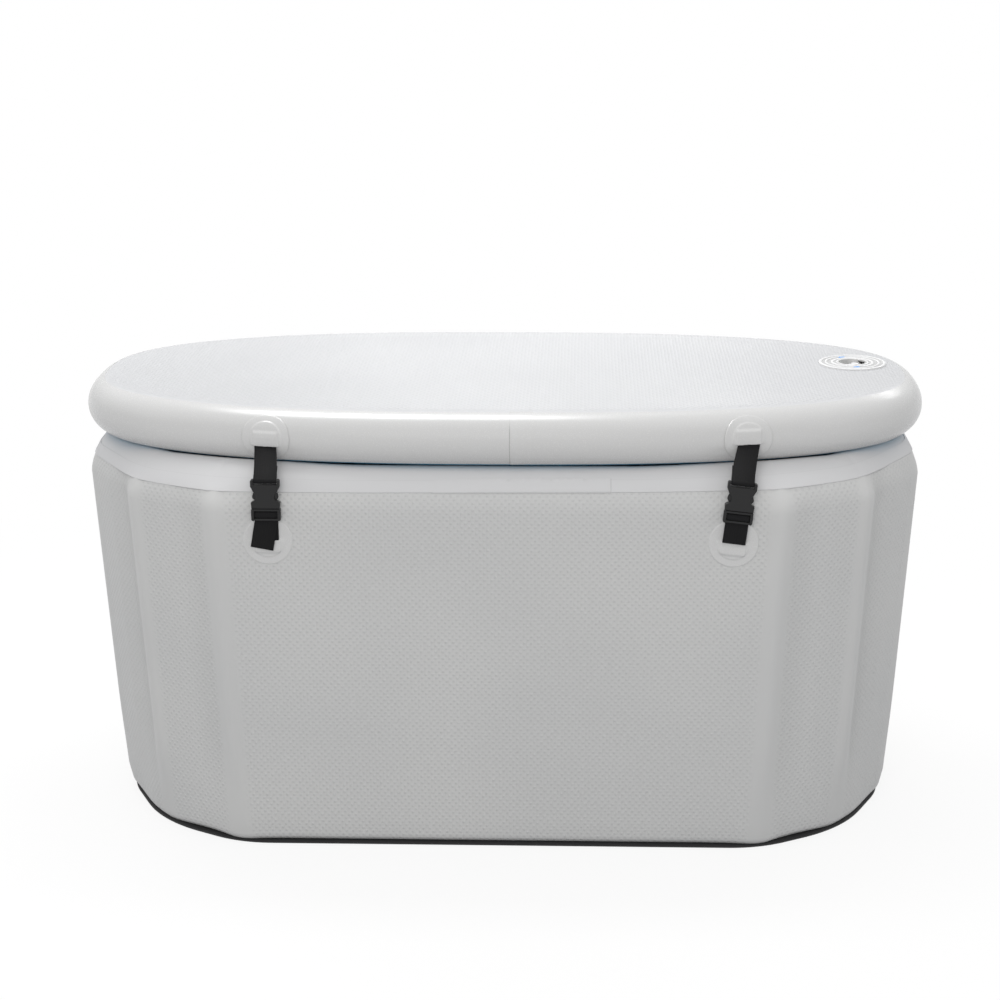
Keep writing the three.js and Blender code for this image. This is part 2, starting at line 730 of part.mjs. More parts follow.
// Up behind the ladder bars, over the upper one, back through the lower slot, and down as the tail
function tubStrapPath() {
  const lowBarTop = BUCKLE_RISE + MALE_BOTTOM + BAR;
  const highBarBottom = lowBarTop + SLOT;
  const highBarTop = highBarBottom + BAR;
  const turn = SLOT - WRAP;
  const tailFace = (rise) => patchFace(rise) + COVER_OUT + GAP + WEBBING_THICKNESS / 2;
  const path = pocketPath(POCKET);
  path.lineTo(LOAD_OUT, highBarBottom);
  path.lineTo(TAIL_OUT, highBarTop);
  path.absarc(BAR_OUT, highBarTop, WRAP, Math.PI, 0, true);
  path.absarc(BAR_OUT, highBarBottom, WRAP, 0, -RIGHT_ANGLE, true);
  path.absarc(TAIL_OUT + turn, lowBarTop, turn, RIGHT_ANGLE, Math.PI, false);
  path.lineTo(TAIL_OUT, BUCKLE_RISE + MALE_BOTTOM - GAP);
  path.lineTo(tailFace(2 * COVER_SLIT), 2 * COVER_SLIT);
  path.lineTo(tailFace(-TAIL_DROP), -TAIL_DROP);
  return path;
}

function tubStrap() {
  return ribbon(flatFrames(tubStrapPath().getPoints(2)), WEBBING, WEBBING_THICKNESS);
}

// Patch: a round sheet with a half-round cover that the webbing runs into

function coverOutline(slit) {
  const outline = new THREE.Shape();
  const angle = Math.asin(slit / COVER_RADIUS);
  outline.absarc(0, 0, COVER_RADIUS, Math.PI - angle, 2 * Math.PI + angle, false);
  return outline;
}

function disc() {
  return new THREE.Shape().absarc(0, 0, PATCH_RADIUS, 0, 2 * Math.PI, false);
}

function tubPatch() {
  const layer = (outline, low, high) => {
    const geometry = plate(outline, high - low).translate(0, -(low + high) / 2, 0);
    return geometry.rotateX(WALL_LEAN).translate(0, -patchFace(0), 0);
  };
  const sheet = layer(disc(), GAP, GAP + PATCH_SHEET);
  const cover = layer(coverOutline(COVER_SLIT), GAP, COVER_OUT);
  const pocket = flatFrames(pocketPath(POCKET + GAP).getPoints(1));
  const room = ribbon(pocket, WEBBING + 2 * GAP, WEBBING_THICKNESS + 2 * GAP);
  return cut(join(sheet, cover), room);
}

// The lid's edge by the strap: the point on it and the turn of the rail there
function lidEdge(x) {
  const share = (Math.abs(x) / LID_X) ** LID_SQUARENESS;
  const out = LID_Y * (1 - share) ** (1 / LID_SQUARENESS);
  const slope = (LID_Y / LID_X) * (Math.abs(x) / LID_X) ** (LID_SQUARENESS - 1)
    * (1 - share) ** (1 / LID_SQUARENESS - 1);
  const turn = Math.sign(x) * Math.atan(slope);
  const matrix = new THREE.Matrix4().makeRotationZ(turn);
  return matrix.setPosition(x, -out, LID_MIDDLE);
}

// In the rail's own frame: x along the rail, -y outward, z up from the middle of the lid
function railPoint(reach, arc) {
  const angle = arc / reach;
  return new THREE.Vector3(0, LID_EDGE - reach * Math.cos(angle), reach * Math.sin(angle));
}

function railFrames(edgeMatrix, depth) {
  const reach = LID_EDGE + POCKET_OUT;
  const across = new THREE.Vector3(1, 0, 0).transformDirection(edgeMatrix);
  return steps(-LID_COVER_SLIT, depth, 4).map((arc) => ({
    middle: railPoint(reach, arc).applyMatrix4(edgeMatrix),
    across,
  }));
}

// Frames round the female half's bar: the sewn lap, the turn under the bar and the start of the load side
function barFrames(leanMatrix, slitPoint) {
  const bar = new THREE.Vector2(BAR_OUT, BUCKLE_RISE + FEMALE_TOP - BAR / 2);
  const radius = Math.hypot(BAR / 2, BAR_DEPTH / 2) + GAP + WEBBING_THICKNESS / 2;
  const local = slitPoint.clone().applyMatrix4(leanMatrix.clone().invert());
  const toSlit = new THREE.Vector2(-local.y, local.z).sub(bar);
  const touch = toSlit.angle() - Math.acos(radius / toSlit.length());
  const away = new THREE.Vector2(Math.cos(touch), Math.sin(touch));
  const along = new THREE.Vector2(-away.y, away.x);
  const at = (run, lift) => bar.clone().addScaledVector(along, run).addScaledVector(away, lift);
  const lapLift = radius - WEBBING_THICKNESS - GAP;
  const turn = steps(touch - Math.PI, touch, 8).map((angle) => new THREE.Vector2(
    bar.x + radius * Math.cos(angle),
    bar.y + radius * Math.sin(angle),
  ));
  const lap = LAP_SHARE * toSlit.length();
  const points = [at(lap, lapLift), at(lap / 2, lapLift), ...turn, at(lap + WEBBING_THICKNESS, radius)];
  const frames = flatFrames(points);
  return frames.map(({ middle, across }) => ({
    middle: middle.applyMatrix4(leanMatrix),
    across: across.transformDirection(leanMatrix),
  }));
}

function lidStrap(leanMatrix, edgeMatrix) {
  const railSide = railFrames(edgeMatrix, POCKET);
  const barSide = barFrames(leanMatrix, railSide[0].middle);
  const [from, to] = [barSide.at(-1), railSide[0]];
  const twist = steps(0, 1, 3).slice(1, -1).map((share) => ({
    middle: from.middle.clone().lerp(to.middle, share),
    across: from.across.clone().lerp(to.across, share).normalize(),
  }));
  return ribbon([...barSide, ...twist, ...railSide], WEBBING, WEBBING_THICKNESS);
}

function lidPatch(leanMatrix, edgeMatrix) {
  const layer = (outline, low, high) => {
    const half = PATCH_RADIUS + OVERCUT;
    const drum = turned([
      [LID_EDGE + low, -half],
      [LID_EDGE + high, -half],
      [LID_EDGE + high, half],
      [LID_EDGE + low, half],
    ], true, DRUM_STEPS);
    drum.rotateY(RIGHT_ANGLE).translate(0, LID_EDGE, 0);
    const punch = plate(outline, LID_EDGE).translate(0, -COVER_OUT, 0);
    return common(drum, punch);
  };
  const upper = coverOutline(LID_COVER_SLIT);
  const sheet = layer(disc(), GAP, GAP + PATCH_SHEET);
  const cover = layer(new THREE.Shape(upper.getPoints(8).map((point) => point.negate())), GAP, COVER_OUT);
  const patch = join(sheet, cover).applyMatrix4(edgeMatrix);
  const pocket = railFrames(edgeMatrix, POCKET + GAP);
  const mouth = {
    middle: barFrames(leanMatrix, pocket[0].middle).at(-1).middle,
    across: pocket[0].across,
  };
  return cut(patch, ribbon([mouth, ...pocket], WEBBING + 2 * GAP, WEBBING_THICKNESS + 2 * GAP));
}

// Buckle halves, about the buckle's middle

function femaleOutline() {
  const half = BUCKLE_WIDTH / 2;
  const low = MATING_LEVEL + GAP;
  const middle = (TAB_BOTTOM + TAB_TOP) / 2;
  const shoulder = middle - SCALLOP_RADIUS - BUCKLE_BEVEL;
  const outline = new THREE.Shape();
  outline.moveTo(-half + BUCKLE_BEVEL, low);
  outline.lineTo(half - BUCKLE_BEVEL, low);
  outline.lineTo(half, shoulder);
  const [from, to] = [SCALLOP_TURN - Math.PI, Math.PI - SCALLOP_TURN];
  outline.absarc(SCALLOP_REACH, middle, SCALLOP_RADIUS, from, to, true);
  outline.lineTo(half, FEMALE_TOP - EAR);
  outline.lineTo(half, FEMALE_TOP - BAR / 2);
  outline.lineTo(half - BAR / 2, FEMALE_TOP);
  outline.lineTo(-half + BAR / 2, FEMALE_TOP);
  outline.lineTo(-half, FEMALE_TOP - BAR / 2);
  outline.lineTo(-half, FEMALE_TOP - EAR);
  outline.absarc(-SCALLOP_REACH, middle, SCALLOP_RADIUS, SCALLOP_TURN, -SCALLOP_TURN, true);
  outline.lineTo(-half, shoulder);
  return outline;
}

const WEB_HALF = WEBBING / 2 + 2 * GAP;

// Clears the webbing's way on both faces of a bar, which keeps its own depth
function barRecess(low, high) {
  const depth = (BUCKLE_DEPTH - BAR_DEPTH) / 2 + OVERCUT;
  const middle = (BAR_DEPTH + depth) / 2;
  return [-middle, middle].map((y) => block(-WEB_HALF, WEB_HALF, depth, low, high).translate(0, y, 0));
}

function buckleFemale() {
  const slotLow = FEMALE_TOP - BAR - SLOT;
  const windowTop = TAB_TOP + TAB_PLAY;
  const windowLow = TAB_BOTTOM - TAB_PLAY;
  const reach = BUCKLE_WIDTH;
  return cut(
    plate(femaleOutline(), BUCKLE_DEPTH, BUCKLE_BEVEL),
    block(-SOCKET_HALF, SOCKET_HALF, SOCKET_DEPTH, MATING_LEVEL - OVERCUT, SOCKET_TOP),
    block(-reach, reach, SOCKET_DEPTH, windowLow, windowTop),
    block(-WEB_HALF, WEB_HALF, BUCKLE_DEPTH + OVERCUT, slotLow, FEMALE_TOP - BAR),
    ...barRecess(slotLow, FEMALE_TOP + OVERCUT),
  );
}

function buckleMale() {
  const half = BUCKLE_WIDTH / 2;
  const outline = new THREE.Shape();
  outline.moveTo(-half + BAR / 2, MALE_BOTTOM);
  outline.lineTo(half - BAR / 2, MALE_BOTTOM);
  outline.lineTo(half, MALE_BOTTOM + BAR / 2);
  outline.lineTo(half, MATING_LEVEL - BAR / 2);
  outline.lineTo(half - BUCKLE_BEVEL, MATING_LEVEL);
  outline.lineTo(-half + BUCKLE_BEVEL, MATING_LEVEL);
  outline.lineTo(-half, MATING_LEVEL - BAR / 2);
  outline.lineTo(-half, MALE_BOTTOM + BAR / 2);
  const lowSlot = MALE_BOTTOM + BAR;
  const highSlot = lowSlot + SLOT + BAR;
  const frame = cut(
    plate(outline, BUCKLE_DEPTH, BUCKLE_BEVEL),
    block(-WEB_HALF, WEB_HALF, BUCKLE_DEPTH + OVERCUT, lowSlot, lowSlot + SLOT),
    block(-WEB_HALF, WEB_HALF, BUCKLE_DEPTH + OVERCUT, highSlot, highSlot + SLOT),
    ...barRecess(MALE_BOTTOM - OVERCUT, highSlot + SLOT),
  );
  const prong = new THREE.Shape();
  prong.moveTo(-PRONG_HALF, MATING_LEVEL - PRONG_ROOT);
  prong.lineTo(PRONG_HALF, MATING_LEVEL - PRONG_ROOT);
  prong.lineTo(PRONG_HALF, PRONG_TOP - PRONG_HALF);
  prong.absarc(0, PRONG_TOP - PRONG_HALF, PRONG_HALF, 0, Math.PI, false);
  return join(frame, plate(prong, PRONG_DEPTH));
}

// Release arm on the right side, rounded at its root, with the tab that the finger presses
function releaseArm() {
  const root = ARM / 2;
  const rootLevel = MATING_LEVEL + GAP + root;
  const outline = new THREE.Shape();
  outline.absarc(ARM_X, rootLevel, root, Math.PI, 2 * Math.PI, false);
  outline.lineTo(ARM_X + root, TAB_BOTTOM);
  outline.quadraticCurveTo(TAB_REACH, TAB_BOTTOM, TAB_REACH, (TAB_BOTTOM + TAB_TOP) / 2);
  outline.lineTo(TAB_REACH - TAB_SLOPE, TAB_TOP);
  outline.lineTo(ARM_X + root, TAB_TOP);
  outline.lineTo(ARM_X + root / 2, ARM_TOP);
  outline.lineTo(ARM_X - root, ARM_TOP);
  return plate(outline, PRONG_DEPTH);
}

// Four straps: two on the front, and two on the back turned half round

const STRAPS = [
  { name: 'front_left', x: FRONT_STRAP_SHIFT - STRAP_X, lean: 0, turn: 0 },
  { name: 'front_right', x: FRONT_STRAP_SHIFT + STRAP_X, lean: RIGHT_STRAP_LEAN, turn: 0 },
  { name: 'back_left', x: STRAP_X, lean: 0, turn: Math.PI },
  { name: 'back_right', x: -STRAP_X, lean: 0, turn: Math.PI },
];

for (const { name, x, lean, turn } of STRAPS) {
  const side = new THREE.Group();
  side.rotation.z = turn;
  const line = new THREE.Group();
  line.position.set(x, 0, PATCH_HEIGHT);
  line.rotation.y = lean;
  line.updateMatrix();
  const buckle = new THREE.Group();
  buckle.position.set(0, -BAR_OUT, BUCKLE_RISE);
  const edgeMatrix = lidEdge(x + (LID_MIDDLE - PATCH_HEIGHT) * Math.tan(lean));

  addPiece(line, `tub_patch_${name}`, tubPatch(), 'panel');
  addPiece(line, `tub_strap_${name}`, tubStrap(), 'webbing');
  addPiece(buckle, `buckle_male_${name}`, buckleMale(), 'buckle');
  addPiece(buckle, `release_arm_r_${name}`, releaseArm(), 'buckle');
  const leftArm = addPiece(buckle, `release_arm_l_${name}`, releaseArm(), 'buckle');
  leftArm.rotation.z = Math.PI;
  addPiece(buckle, `buckle_female_${name}`, buckleFemale(), 'buckle');
  addPiece(side, `lid_strap_${name}`, lidStrap(line.matrix, edgeMatrix), 'webbing');
  addPiece(side, `lid_patch_${name}`, lidPatch(line.matrix, edgeMatrix), 'rail');

  line.add(buckle);
  side.add(line);
  part.add(side);
}

export default part;
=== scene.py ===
import math

import bmesh
import bpy
from mathutils import Matrix, Vector


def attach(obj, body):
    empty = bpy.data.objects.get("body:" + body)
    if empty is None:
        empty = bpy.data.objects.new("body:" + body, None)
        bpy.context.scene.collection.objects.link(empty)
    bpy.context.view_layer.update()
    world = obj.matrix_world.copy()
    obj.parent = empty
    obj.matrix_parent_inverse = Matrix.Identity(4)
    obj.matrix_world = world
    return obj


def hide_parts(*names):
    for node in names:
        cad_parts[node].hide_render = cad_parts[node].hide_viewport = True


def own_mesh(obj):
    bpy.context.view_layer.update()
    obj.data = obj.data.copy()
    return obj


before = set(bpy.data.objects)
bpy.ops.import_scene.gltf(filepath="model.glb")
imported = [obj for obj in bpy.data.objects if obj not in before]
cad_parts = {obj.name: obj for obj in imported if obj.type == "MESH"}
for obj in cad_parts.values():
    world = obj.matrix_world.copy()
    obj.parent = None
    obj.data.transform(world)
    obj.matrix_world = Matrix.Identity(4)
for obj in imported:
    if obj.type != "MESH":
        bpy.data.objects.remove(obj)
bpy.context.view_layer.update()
print("frame loaded:", len(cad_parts), "nodes")

# camera, as the photograph was taken
photoView = {"place": (0.1513, -4.1251, 1.7355), "pitch": 16.002, "yaw": -2.212, "roll": -0.299, "lens": 81.148}


def addCamera(view):
    pitch, yaw, roll = (math.radians(view[key]) for key in ("pitch", "yaw", "roll"))
    ahead = Vector((math.sin(yaw) * math.cos(pitch), math.cos(yaw) * math.cos(pitch), -math.sin(pitch)))
    level = Vector((math.cos(yaw), -math.sin(yaw), 0))
    upright = level.cross(ahead)
    right = math.cos(roll) * level + math.sin(roll) * upright
    above = math.cos(roll) * upright - math.sin(roll) * level
    camera = bpy.data.objects.new("photoCamera", bpy.data.cameras.new("photoCamera"))
    camera.data.sensor_width = 36
    camera.data.lens = view["lens"]
    camera.data.clip_end = 60
    turn = Matrix((right, above, -ahead)).transposed().to_4x4()
    camera.matrix_world = Matrix.Translation(view["place"]) @ turn
    bpy.context.scene.collection.objects.link(camera)
    bpy.context.scene.camera = camera


addCamera(photoView)
print("camera set")


# node helpers
def addNode(tree, kind, inputs=None, **settings):
    node = tree.nodes.new(kind)
    for key, value in settings.items():
        setattr(node, key, value)
    for key, value in (inputs or {}).items():
        if isinstance(value, bpy.types.NodeSocket):
            tree.links.new(value, node.inputs[key])
        else:
            node.inputs[key].default_value = value
    return node


def calc(tree, operation, first, second=0.0):
    return addNode(tree, "ShaderNodeMath", {0: first, 1: second}, operation=operation).outputs[0]


def ramp(tree, value, fromLow, fromHigh, toLow=0.0, toHigh=1.0):
    inputs = {"Value": value, "From Min": fromLow, "From Max": fromHigh, "To Min": toLow, "To Max": toHigh}
    return addNode(tree, "ShaderNodeMapRange", inputs, interpolation_type="SMOOTHSTEP").outputs["Result"]


def blendColor(tree, factor, first, second):
    node = addNode(tree, "ShaderNodeMix", data_type="RGBA")
    for key, value in (("Factor_Float", factor), ("A_Color", first), ("B_Color", second)):
        socket = next(item for item in node.inputs if item.identifier == key)
        if isinstance(value, bpy.types.NodeSocket):
            tree.links.new(value, socket)
        else:
            socket.default_value = value
    return next(item for item in node.outputs if item.identifier == "Result_Color")


def newGroup(name, inputs, outputs):
    group = bpy.data.node_groups.new(name, "ShaderNodeTree")
    for label, kind in inputs:
        group.interface.new_socket(label, in_out="INPUT", socket_type="NodeSocket" + kind)
    for label, kind in outputs:
        group.interface.new_socket(label, in_out="OUTPUT", socket_type="NodeSocket" + kind)
    return group, addNode(group, "NodeGroupInput").outputs, addNode(group, "NodeGroupOutput").inputs


def useGroup(tree, group, inputs):
    node = addNode(tree, "ShaderNodeGroup", node_tree=group)
    for key, value in inputs.items():
        if isinstance(value, bpy.types.NodeSocket):
            tree.links.new(value, node.inputs[key])
        else:
            node.inputs[key].default_value = value
    return node.outputs


# drop-stitch dimples: two staggered rows of pits in each column and row of threads
def makeDimples():
    group, given, made = newGroup(
        "stitchDimples",
        [("Vector", "Vector"), ("Column", "Float"), ("Row", "Float"), ("Wander", "Float")],
        [("Pit", "Float")],
    )
    drift = addNode(group, "ShaderNodeTexNoise", {"Vector": given["Vector"], "Scale": 9.0, "Detail": 1.0})
    shift = addNode(group, "ShaderNodeVectorMath", {0: drift.outputs["Color"], 1: (0.5, 0.5, 0.5)}, operation="SUBTRACT")
    grown = addNode(group, "ShaderNodeVectorMath", {0: shift.outputs[0]}, operation="SCALE")
    group.links.new(given["Wander"], grown.inputs["Scale"])
    place = addNode(group, "ShaderNodeVectorMath", {0: given["Vector"], 1: grown.outputs[0]}, operation="ADD")
    split = addNode(group, "ShaderNodeSeparateXYZ", {0: place.outputs[0]})
    turns = []
    for axis, pitch in (("X", "Column"), ("Y", "Row")):
        share = calc(group, "DIVIDE", split.outputs[axis], given[pitch])
        turns.append(calc(group, "COSINE", calc(group, "MULTIPLY", share, 2 * math.pi)))
    group.links.new(ramp(group, calc(group, "MULTIPLY", *turns), 0.0, 1.0), made["Pit"])
    return group


# cloudy tone and fine grain of calendered sheet
def makeSheetTone():
    group, given, made = newGroup(
        "sheetTone", [("Vector", "Vector"), ("Cloud", "Float"), ("Grain", "Float")], [("Tone", "Float"), ("Grain", "Float")]
    )
    cloud = addNode(group, "ShaderNodeTexNoise", {"Vector": given["Vector"], "Scale": 3.2, "Detail": 1.0})
    fine = addNode(group, "ShaderNodeTexNoise", {"Vector": given["Vector"], "Scale": 620.0, "Detail": 2.0})
    group.links.new(calc(group, "MULTIPLY", ramp(group, cloud.outputs["Fac"], 0.3, 0.7), given["Cloud"]), made["Tone"])
    group.links.new(calc(group, "MULTIPLY", fine.outputs["Fac"], given["Grain"]), made["Grain"])
    return group


# flat webbing: ribs across, crossed by the columns of its warp
def makeWeave():
    group, given, made = newGroup(
        "webbingWeave", [("Vector", "Vector"), ("Rib", "Float"), ("Column", "Float")], [("Height", "Float"), ("Thread", "Float")]
    )
    split = addNode(group, "ShaderNodeSeparateXYZ", {0: given["Vector"]})
    column = calc(group, "MULTIPLY", calc(group, "DIVIDE", split.outputs["X"], given["Column"]), 2 * math.pi)
    rib = calc(group, "MULTIPLY", calc(group, "DIVIDE", split.outputs["Y"], given["Rib"]), 2 * math.pi)
    warp = calc(group, "MULTIPLY_ADD", calc(group, "SINE", column), 0.5)
    twill = calc(group, "SINE", calc(group, "ADD", rib, calc(group, "MULTIPLY", calc(group, "SINE", column), 1.3)))
    height = calc(group, "ADD", calc(group, "MULTIPLY", twill, 0.6), calc(group, "MULTIPLY", warp, 0.4))
    group.links.new(ramp(group, height, -0.9, 0.9), made["Height"])
    fuzz = addNode(group, "ShaderNodeTexNoise", {"Vector": given["Vector"], "Scale": 700.0, "Detail": 2.0})
    group.links.new(fuzz.outputs["Fac"], made["Thread"])
    return group


dimples = makeDimples()
sheetTone = makeSheetTone()
weave = makeWeave()


def newMaterial(name, color, roughness, **sockets):
    material = bpy.data.materials.new(name)
    material.use_nodes = True
    tree = material.node_tree
    shader = tree.nodes["Principled BSDF"]
    shader.inputs["Base Color"].default_value = (*color, 1)
    shader.inputs["Roughness"].default_value = roughness
    for key, value in sockets.items():
        shader.inputs[key].default_value = value
    return material, tree, shader


def addBump(tree, shader, height, distance, strength):
    bump = addNode(tree, "ShaderNodeBump", {"Height": height, "Distance": distance, "Strength": strength})
    tree.links.new(bump.outputs["Normal"], shader.inputs["Normal"])


# pale sheet; where = "uv" follows the wall, "object" lies flat on lid and floor
def makeSheet(name, look, where=None):
    material, tree, shader = newMaterial(name, look["color"], look["roughness"])
    place = addNode(tree, "ShaderNodeTexCoord").outputs
    tone = useGroup(tree, sheetTone, {"Vector": place["Object"], "Cloud": look["cloud"], "Grain": look["grain"]})
    shade = blendColor(tree, tone["Tone"], (*look["color"], 1), (*look["dull"], 1))
    height = calc(tree, "MULTIPLY", tone["Grain"], 1.0)
    if where:
        pits = useGroup(tree, dimples, {
            "Vector": place["UV" if where == "uv" else "Object"],
            "Column": look["column"], "Row": look["row"], "Wander": look["wander"],
        })["Pit"]
        mask = addNode(tree, "ShaderNodeAttribute", attribute_name="dimpled").outputs["Fac"]
        pits = calc(tree, "MULTIPLY", pits, mask)
        # painted shade: the dimple pits are coloured darker, towards the dull colour
        shade = blendColor(tree, calc(tree, "MULTIPLY", pits, look["pitShade"]), shade, (*look["dull"], 1))
        height = calc(tree, "SUBTRACT", height, pits)
    # darker towards a dark colour by a vertex attribute: dark seam lines, and painted shade in the hollows beside the
    # folds and on the valve flange's flats
    seamAndShadeTone = addNode(tree, "ShaderNodeAttribute", attribute_name="seamLinesAndPaintedShade").outputs["Fac"]
    shade = blendColor(tree, seamAndShadeTone, shade, (*look["seamAndShadeTone"], 1))
    tree.links.new(shade, shader.inputs["Base Color"])
    tree.links.new(ramp(tree, tone["Grain"], 0.3 * look["grain"], 0.7 * look["grain"], look["roughness"], look["roughness"] + 0.03), shader.inputs["Roughness"])
    addBump(tree, shader, height, look["depth"], look["relief"])
    return material


panelLook = {
    "color": (0.600, 0.602, 0.598), "dull": (0.545, 0.550, 0.552), "roughness": 0.46, "cloud": 0.5, "grain": 0.10,
    "column": 0.0128, "row": 0.0123, "wander": 0.0012, "pitShade": 0.65, "depth": 0.0010, "relief": 0.60, "seamAndShadeTone": (0.20, 0.20, 0.19),
}
lidTopLook = dict(panelLook, color=(0.602, 0.608, 0.622), dull=(0.545, 0.552, 0.568), roughness=0.32, relief=1.0, pitShade=1.0)
railLook = dict(panelLook, color=(0.620, 0.621, 0.620), dull=(0.603, 0.606, 0.607), roughness=0.25, grain=0.06, relief=0.2, cloud=0.12)
tapeLook = dict(railLook, color=(0.620, 0.622, 0.632), dull=(0.600, 0.604, 0.614), roughness=0.55, relief=0.5)
blueLook = dict(railLook, color=(0.050, 0.300, 0.480), dull=(0.045, 0.260, 0.420), roughness=0.42)
padLook = dict(railLook, color=(0.012, 0.012, 0.013), dull=(0.020, 0.020, 0.021), roughness=0.62, grain=0.5, relief=0.7)
valveLook = dict(railLook, color=(0.790, 0.794, 0.800), dull=(0.765, 0.770, 0.775), roughness=0.28)
sealLook = dict(padLook, color=(0.045, 0.047, 0.050), dull=(0.060, 0.062, 0.064))
threadLook = dict(railLook, color=(0.690, 0.690, 0.660), dull=(0.620, 0.620, 0.590), roughness=0.85, grain=0.6, relief=0.8)
buckleLook = dict(railLook, color=(0.0105, 0.0105, 0.011), dull=(0.016, 0.016, 0.017), roughness=0.40, grain=0.35, relief=0.35)
wellLook = dict(railLook, color=(0.600, 0.600, 0.595), dull=(0.520, 0.520, 0.515), roughness=0.30)
markLook = dict(railLook, color=(0.040, 0.300, 0.760), dull=(0.050, 0.320, 0.740), roughness=0.6)

panelSheet = makeSheet("panelSheet", panelLook, "uv")
lidTopSheet = makeSheet("lidTopSheet", lidTopLook, "object")
floorSheet = makeSheet("floorSheet", panelLook, "object")
railSheet = makeSheet("railSheet", railLook)
tapeSheet = makeSheet("tapeSheet", tapeLook)
blueSheet = makeSheet("blueSheet", blueLook)
padRubber = makeSheet("padRubber", padLook)
valvePlastic = makeSheet("valvePlastic", valveLook)
sealRubber = makeSheet("sealRubber", sealLook)
threadCloth = makeSheet("threadCloth", threadLook)
bucklePlastic = makeSheet("bucklePlastic", buckleLook)
wellPlastic = makeSheet("wellPlastic", wellLook)
blueMark = makeSheet("blueMark", markLook)
bucklePlastic.node_tree.nodes["Principled BSDF"].inputs["Specular IOR Level"].default_value = 0.38

webbingLook = {"color": (0.0075, 0.0075, 0.0080), "thread": (0.021, 0.021, 0.022), "roughness": 0.72, "rib": 0.0017, "column": 0.0042}


def makeWebbing(look):
    material, tree, shader = newMaterial("webbingCloth", look["color"], look["roughness"], **{"Specular IOR Level": 0.14})
    place = addNode(tree, "ShaderNodeTexCoord").outputs["UV"]
    cloth = useGroup(tree, weave, {"Vector": place, "Rib": look["rib"], "Column": look["column"]})
    # painted highlight on the raised ribs of the weave, varied by fine fibre noise
    light = calc(tree, "MULTIPLY", cloth["Height"], cloth["Thread"])
    tree.links.new(blendColor(tree, light, (*look["color"], 1), (*look["thread"], 1)), shader.inputs["Base Color"])
    tree.links.new(ramp(tree, cloth["Thread"], 0.2, 0.8, 0.6, 0.85), shader.inputs["Roughness"])
    addBump(tree, shader, cloth["Height"], 0.0004, 0.7)
    return material


webbingCloth = makeWebbing(webbingLook)


def makeSteel():
    material, tree, shader = newMaterial("springSteel", (0.46, 0.48, 0.49), 0.3, Metallic=0.9)
    place = addNode(tree, "ShaderNodeTexCoord").outputs["Object"]
    scratch = addNode(tree, "ShaderNodeTexNoise", {"Vector": place, "Scale": 400.0, "Detail": 2.0}).outputs["Fac"]
    tree.links.new(ramp(tree, scratch, 0.3, 0.7, 0.22, 0.42), shader.inputs["Roughness"])
    return material


springSteel = makeSteel()
print("materials made")


# piece helpers
def finishPiece(name, bm, body, material, nodes=(), sharp=40):
    mesh = bpy.data.meshes.new(name)
    bm.to_mesh(mesh)
    bm.free()
    mesh.materials.append(material)
    mesh.shade_smooth()
    mesh.set_sharp_from_angle(angle=math.radians(sharp))
    piece = bpy.data.objects.new(name, mesh)
    bpy.context.scene.collection.objects.link(piece)
    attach(piece, body)
    if nodes:
        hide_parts(*nodes)
    return piece


def spread(low, high, count):
    return [low + (high - low) * step / count for step in range(count + 1)]


def easeIn(value, low, high):
    share = min(max((value - low) / (high - low), 0.0), 1.0)
    return share * share * (3 - 2 * share)


def walkLoop(bm):
    ring = [bm.verts[0]]
    edge = ring[0].link_edges[0]
    while True:
        vert = edge.other_vert(ring[-1])
        if vert is ring[0]:
            break
        ring.append(vert)
        edge = next(other for other in vert.link_edges if other is not edge)
    area = sum(a.co.x * b.co.y - b.co.x * a.co.y for a, b in zip(ring, ring[1:] + ring[:1]))
    return ring if area > 0 else ring[::-1]


def raiseRing(bm, ring):
    edges = [bm.edges.get((vert, ring[index - 1])) for index, vert in enumerate(ring)]
    made = bmesh.ops.extrude_edge_only(bm, edges=edges)["geom"]
    fresh = {item for item in made if isinstance(item, bmesh.types.BMVert)}
    return [next(e.other_vert(vert) for e in vert.link_edges if e.other_vert(vert) in fresh) for vert in ring]


# tub wall: plan of folded panels, raised ring by ring
tubShape = {
    "length": 1.528, "width": 0.768, "frontPanel": 0.995, "endPanel": 0.212, "foldAngle": 30, "foldRadius": 0.070,
    "innerRadius": 0.010, "wall": 0.100, "skin": 0.0015, "rimHeight": 0.709, "noseHeight": 0.072, "baseShare": 0.936,
    "endShare": 0.949, "hem": 0.016, "bottom": 0.0123, "arcSteps": 8, "panelStep": 0.012, "seamDrop": 0.023,
    "foldSwell": 0.0030, "foldValley": 0.0008, "dentAt": 3.2, "dentWidth": 1.9, "dentPaintedShade": 0.16, "swellFrom": 0.05, "swellTo": 0.20,
    "hemDrop": 0.0066, "hemFacet": 0.0046, "hemEnd": 0.0085, "hemFold": 0.0090, "endCurl": 0.011, "tuckIn": 0.018, "tuckUp": 0.0055, "tuckReach": 0.27,
}
# one value for each fold of a half turn: how far the rim tucks, the hollow beside the fold,
# and the wider bend it takes up at the rim, at the hem and in the pad
foldForm = {
    "tuck": (0.0, 0.55, 1.0, 1.0, 0.55, 0.0),
    "dent": (0.0, 0.0090, 0.0030, 0.0030, 0.0090, 0.0),
    "rim": (0.15, 0.30, 0.30, 0.30, 0.30, 0.15),
    "hem": (0.09, 0.28, 0.11, 0.11, 0.28, 0.09),
    "pad": (0.18, 0.30, 0.22, 0.22, 0.30, 0.18),
}
wideLevel = tubShape["rimHeight"] - tubShape["noseHeight"]


def planScale(z, way="baseShare"):
    return tubShape[way] + (1 - tubShape[way]) * min(z / wideLevel, 1)


